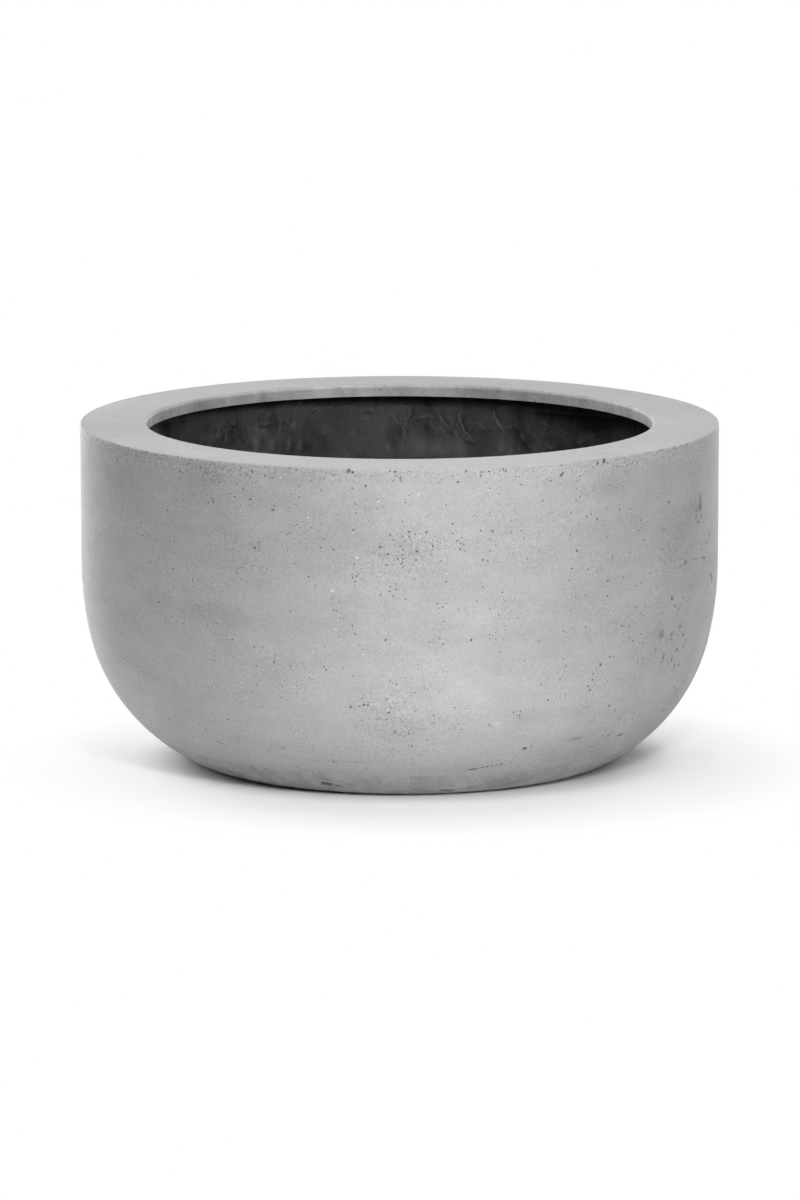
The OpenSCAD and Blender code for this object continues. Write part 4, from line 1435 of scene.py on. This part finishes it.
@dataclass
class DrainStopper:
    """The rubber stopper in the drain hole: a ribbed hollow stem, a flange on the floor and a knob."""
    finish: MouldedRubber
    steps: int = 96
    stem_r: float = 0.01195
    stem_wall: float = 0.004
    stem_end: float = 0.003
    floor_z: float = 0.0125
    crown_t: float = 0.003
    rib_x: float = 0.01175
    rib_r: float = 0.0012
    flange_r: float = 0.021
    flange_t: float = 0.003
    flange_arris_r: float = 0.001
    neck_r: float = 0.004
    neck_h: float = 0.004
    knob_x: float = 0.006
    knob_r: float = 0.003
    fillet_r: float = 0.0008
    ring_x: float = 0.0176
    ring_r: float = 0.00045
    dimple_r: float = 0.0019
    dimple_floor_r: float = 0.0014
    dimple_t: float = 0.0004

    def build(self) -> bpy.types.Object:
        """Models the stopper as one revolved solid.

        Returns:
            The stopper's object.
        """
        flange_top = self.floor_z + self.flange_t
        knob_z = flange_top + self.neck_h
        knob_top = knob_z + 2 * self.knob_r
        f, a = self.fillet_r, self.flange_arris_r
        stem_h = self.floor_z - self.stem_end
        bite = math.acos((self.stem_r - self.rib_x) / self.rib_r)
        half = self.rib_r * math.sin(bite)
        pen = SectionPen(0.0, self.floor_z - self.crown_t)
        pen.line(self.stem_r - self.stem_wall - f, self.floor_z - self.crown_t, 2)
        pen.arc(self.stem_r - self.stem_wall - f, self.floor_z - self.crown_t - f, -math.pi / 2, 4)
        pen.line(self.stem_r - self.stem_wall, self.stem_end, 3)
        pen.line(self.stem_r - 0.5 * f, self.stem_end, 2)
        pen.arc(self.stem_r - 0.5 * f, self.stem_end + 0.5 * f, math.pi / 2, 3)
        for i in (1, 2):
            rib_z = self.stem_end + i * stem_h / 3
            pen.line(self.stem_r, rib_z - half)
            pen.arc(self.rib_x, rib_z, 2 * bite, 8)
        pen.line(self.stem_r, self.floor_z, 1)
        pen.line(self.flange_r - 0.3 * f, self.floor_z, 3)
        pen.arc(self.flange_r - 0.3 * f, self.floor_z + 0.3 * f, math.pi / 2, 3)
        pen.line(self.flange_r, flange_top - a, 2)
        pen.arc(self.flange_r - a, flange_top - a, math.pi / 2, 6)
        # A low moulded ring stands on the flange, which stiffens its edge
        pen.line(self.ring_x + self.ring_r, flange_top, 2)
        pen.arc(self.ring_x, flange_top, math.pi, 8)
        pen.line(self.neck_r + f, flange_top, 5, support=0.2 * MM)
        pen.arc(self.neck_r + f, flange_top + f, -math.pi / 2, 5)
        pen.line(self.neck_r, knob_z - f, 3)
        pen.arc(self.neck_r + f, knob_z - f, -math.pi / 2, 5)
        pen.line(self.knob_x, knob_z, 1)
        pen.arc(self.knob_x, knob_z + self.knob_r, math.pi, 20)
        # The sprue was cut off in a shallow dimple in the middle of the knob
        pen.line(self.dimple_r, knob_top, 3, support=0.2 * MM)
        pen.line(self.dimple_floor_r, knob_top - self.dimple_t + 0.05 * MM, 2)
        pen.line(0.0, knob_top - self.dimple_t, 3)
        return place_object(pen.revolve(self.steps), "drain_plug_moulded", 50)

    def dress(self, made: bpy.types.Object) -> None:
        """Gives the stopper its finish and lets it lift with its own body.

        Args:
            made: The stopper's object.
        """
        made.data.materials.append(self.finish.material())
        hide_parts("drain_plug")
        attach(made, "stopper")


@dataclass
class FootPads:
    """The four thin pads under the base."""
    finish: SheetRubber
    count: int = 4
    radius: float = 0.017
    thickness: float = 0.002
    ring_r: float = 0.15185
    edge_r: float = 0.0003

    def build(self) -> list[bpy.types.Object]:
        """Models each pad as a punched disc with broken edges.

        Returns:
            The pads' objects, in the order of their nodes.
        """
        made = []
        for i in range(self.count):
            bm = bmesh.new()
            bmesh.ops.create_circle(bm, cap_ends=True, radius=self.radius, segments=72)
            raised = bmesh.ops.extrude_face_region(bm, geom=bm.faces[:])
            top = [part for part in raised["geom"] if isinstance(part, bmesh.types.BMVert)]
            bmesh.ops.translate(bm, verts=top, vec=(0, 0, self.thickness))
            bmesh.ops.recalc_face_normals(bm, faces=bm.faces)
            rims = [edge for edge in bm.edges if len({round(v.co.z, 6) for v in edge.verts}) == 1]
            bmesh.ops.bevel(bm, geom=rims, offset=self.edge_r, offset_type="OFFSET", segments=3, profile=0.5,
                            affect="EDGES", material=-1)
            turn = math.radians(45 + i * 360 / self.count)
            bmesh.ops.transform(bm, verts=bm.verts, matrix=Matrix.Translation(
                (self.ring_r * math.cos(turn), self.ring_r * math.sin(turn), 0)))
            made.append(place_object(bm, f"foot_pad_{i + 1}_disc"))
        return made

    def dress(self, made: list[bpy.types.Object]) -> None:
        """Gives the pads their finish and their place on the planter's body.

        Args:
            made: The pads' objects, in the order of their nodes.
        """
        material = self.finish.material()
        for i, pad in enumerate(made):
            pad.data.materials.append(material)
            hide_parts(f"foot_pad_{i + 1}")
            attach(pad, "planter")


# The studio


@dataclass(frozen=True)
class SoftBox:
    """A flat soft lamp that faces the planter, placed by bearing, elevation and distance."""
    name: str
    bearing: float
    elevation: float
    distance: float
    width: float
    height: float
    watts: float

    def hang(self, target: Vector) -> None:
        """Hangs the lamp.

        Args:
            target: The point that the lamp faces.
        """
        lamp = bpy.data.lights.new(self.name, "AREA")
        lamp.shape = "RECTANGLE"
        lamp.size, lamp.size_y, lamp.energy = self.width, self.height, self.watts
        made = bpy.data.objects.new(self.name, lamp)
        a, b = math.radians(self.bearing), math.radians(self.elevation)
        arm = Vector((math.sin(a) * math.cos(b), -math.cos(a) * math.cos(b), math.sin(b))) * self.distance
        made.location = target + arm
        made.rotation_euler = arm.to_track_quat("Z", "Y").to_euler()
        made.visible_camera = False
        bpy.context.scene.collection.objects.link(made)


@dataclass(frozen=True)
class Oval:
    """Ovals on the floor round one middle: how much x, y and z are stretched, and what is then added."""
    stretch: tuple[float, float, float]
    shift: tuple[float, float, float]

    def reach(self, node: AddNode, spot: Socket) -> Socket:
        """Measures how far out a point lies on the stretched floor.

        Args:
            node: Adds a node to the material.
            spot: The point.

        Returns:
            Its distance from the ovals' middle.
        """
        moved = node("VectorMath", {0: spot, 1: self.stretch, 2: self.shift}, operation="MULTIPLY_ADD")
        return node("VectorMath", {0: moved}, "Value", operation="LENGTH")


@dataclass
class Studio:
    """A plain white room: floor, white surroundings, soft lamps and the camera.

    Attributes:
        lamps: The lamps.
        aim: The point that the lamps face.
        floor_r: Radius of the floor.
        foot_oval: The dark beside the foot, which is wider than it is deep.
        shadow_oval: The whole shadow, which lies a little to the right and to the front.
        shadow_fade: Where the shadow starts to fade, and where the floor is pure white.
        glow: The floor's own light a little out from the foot.
        glow_rise: Where that light starts, and where it is full. Nearer, the floor keeps its whole shadow.
        glow_fall: Where it starts to die away, because the lamps reach the floor, and where it has gone.
        eye: Where the camera stands.
        pitch: The camera's turn up from straight down.
        lens_mm: Its focal length, on a sensor 36 mm wide.
        room_light: The surroundings' strength as a light.
    """
    lamps: tuple[SoftBox, ...] = (
        SoftBox("overhead_wide", 0, 89, 2.6, 2.0, 2.0, 14.5),
        SoftBox("overhead", 0, 85, 1.6, 0.6, 0.6, 8.9),
        SoftBox("key", 10, 23, 1.2, 0.16, 0.16, 4.85),
        SoftBox("fill", 22, 20, 2.2, 0.25, 0.25, 5.1),
        SoftBox("front_right", 30, 25, 2.6, 1.3, 1.3, 1.9),
        SoftBox("left_high", 240, 52, 2.6, 1.3, 1.3, 3.3),
        SoftBox("back", 205, 7.5, 2.6, 1.3, 0.98, 38.0),
        SoftBox("left_edge", 225, 8, 1.4, 0.5, 0.5, 4.6),
        SoftBox("left_edge_wide", 240, 8, 1.4, 0.5, 0.5, 2.4),
        SoftBox("right_edge", 138, 8, 1.4, 0.5, 0.5, 2.9),
        SoftBox("right_rear", 157, 6, 2.2, 0.4, 0.4, 11.0),
    )
    aim: tuple[float, float, float] = (0.0, 0.0, 0.15)
    floor_r: float = 14.0
    foot_oval: Oval = Oval((0.825, 1.0, 1.0), (-0.0064, 0.0267, 0.0))
    shadow_oval: Oval = Oval((1.0, 1.2, 1.0), (-0.018, 0.064, 0.0))
    shadow_fade: tuple[float, float] = (0.196, 0.359)
    glow: float = 0.312
    glow_rise: tuple[float, float] = (0.152, 0.195)
    glow_fall: tuple[float, float] = (0.195, 0.3)
    eye: tuple[float, float, float] = (0.00025, -4.3421, 0.9259)
    pitch: float = 79.611
    lens_mm: float = 155.46
    room_light: float = 0.02

    def build(self) -> None:
        """Builds the floor, the surroundings, the lamps and the camera, and logs them."""
        self.lay_floor()
        self.surround()
        for lamp in self.lamps:
            lamp.hang(Vector(self.aim))
        self.set_camera()
        LOG.info("studio: floor, surroundings, %d lamps and the camera", len(self.lamps))

    @staticmethod
    def seen(node: AddNode) -> Socket:
        """Picks out the rays that show a surface to the camera, straight, mirrored or through something.

        Args:
            node: Adds a node to the material.

        Returns:
            1 for those rays, and 0 for the rest.
        """
        rays = node("LightPath").node.outputs
        seen = rays["Is Camera Ray"]
        for name in ("Is Glossy Ray", "Is Transmission Ray"):
            seen = node("Math", {0: seen, 1: rays[name]}, operation="MAXIMUM")
        return seen

    def lay_floor(self) -> None:
        """Lays a white floor that keeps the planter's shadow and fades to pure white further out."""
        bm = bmesh.new()
        bmesh.ops.create_circle(bm, cap_ends=True, radius=self.floor_r, segments=96)
        floor = place_object(bm, "floor")
        material, node = new_material("painted_floor")
        seen = self.seen(node)
        spot = node("TexCoord", out="Object")
        gap = self.foot_oval.reach(node, spot)
        reach = self.shadow_oval.reach(node, spot)
        away, risen, fallen = (
            node("MapRange", {"Value": value, "From Min": start, "From Max": end, "To Max": most},
                 interpolation_type="SMOOTHSTEP")
            for value, (start, end), most in (
                (reach, self.shadow_fade, 1.0), (gap, self.glow_rise, self.glow),
                (gap, self.glow_fall, self.glow)))
        lift = node("Math", {0: risen, 1: fallen}, operation="SUBTRACT")
        plain, lift = (node("Math", {0: part, 1: seen}, operation="MULTIPLY") for part in (away, lift))
        near = node("AddShader", {
            0: node("BsdfDiffuse", {"Color": linear("#F7F7F7")}), 1: node("Emission", {"Strength": lift})})
        both = node("MixShader", {0: plain, 1: near, 2: node("Emission", {"Strength": 1.0})})
        node("OutputMaterial", {"Surface": both})
        floor.data.materials.append(material)

    def surround(self) -> None:
        """Makes the surroundings white to the camera and in reflections, and faint as a light."""
        world = bpy.data.worlds.new("white_room")
        world.use_nodes = True
        world.node_tree.nodes.clear()
        node = partial(add_node, world.node_tree)
        level = node("MapRange", {"Value": self.seen(node), "To Min": self.room_light, "To Max": 1.0})
        sky = node("Background", {"Color": (1.0, 1.0, 1.0, 1.0), "Strength": level})
        node("OutputWorld", {"Surface": sky})
        bpy.context.scene.world = world

    def set_camera(self) -> None:
        """Sets the camera a little above the rim, 4.4 m away, with a long lens."""
        lens = bpy.data.cameras.new("view")
        lens.sensor_width = 36.0
        lens.lens = self.lens_mm
        lens.clip_end = 100.0
        made = bpy.data.objects.new("view", lens)
        made.location = self.eye
        made.rotation_euler = (math.radians(self.pitch), 0, 0)
        bpy.context.scene.collection.objects.link(made)
        bpy.context.scene.camera = made
        bpy.context.scene.view_settings.view_transform = "Standard"


# Build order


def main() -> None:
    """Builds and dresses the planter piece by piece, and then the studio."""
    logging.basicConfig(level=logging.INFO, format="%(name)s: %(message)s")
    for part in (FaceShell(Fibrestone()), InnerLaminate(GlassFibreLaminate()), DrainStopper(MouldedRubber()),
                 FootPads(SheetRubber())):
        made = part.build()
        part.dress(made)
        for piece in made if isinstance(made, list) else [made]:
            piece.data.calc_loop_triangles()
            LOG.info("%s: %d triangles", piece.name, len(piece.data.loop_triangles))
    Studio().build()


if __name__ == "__main__":
    main()
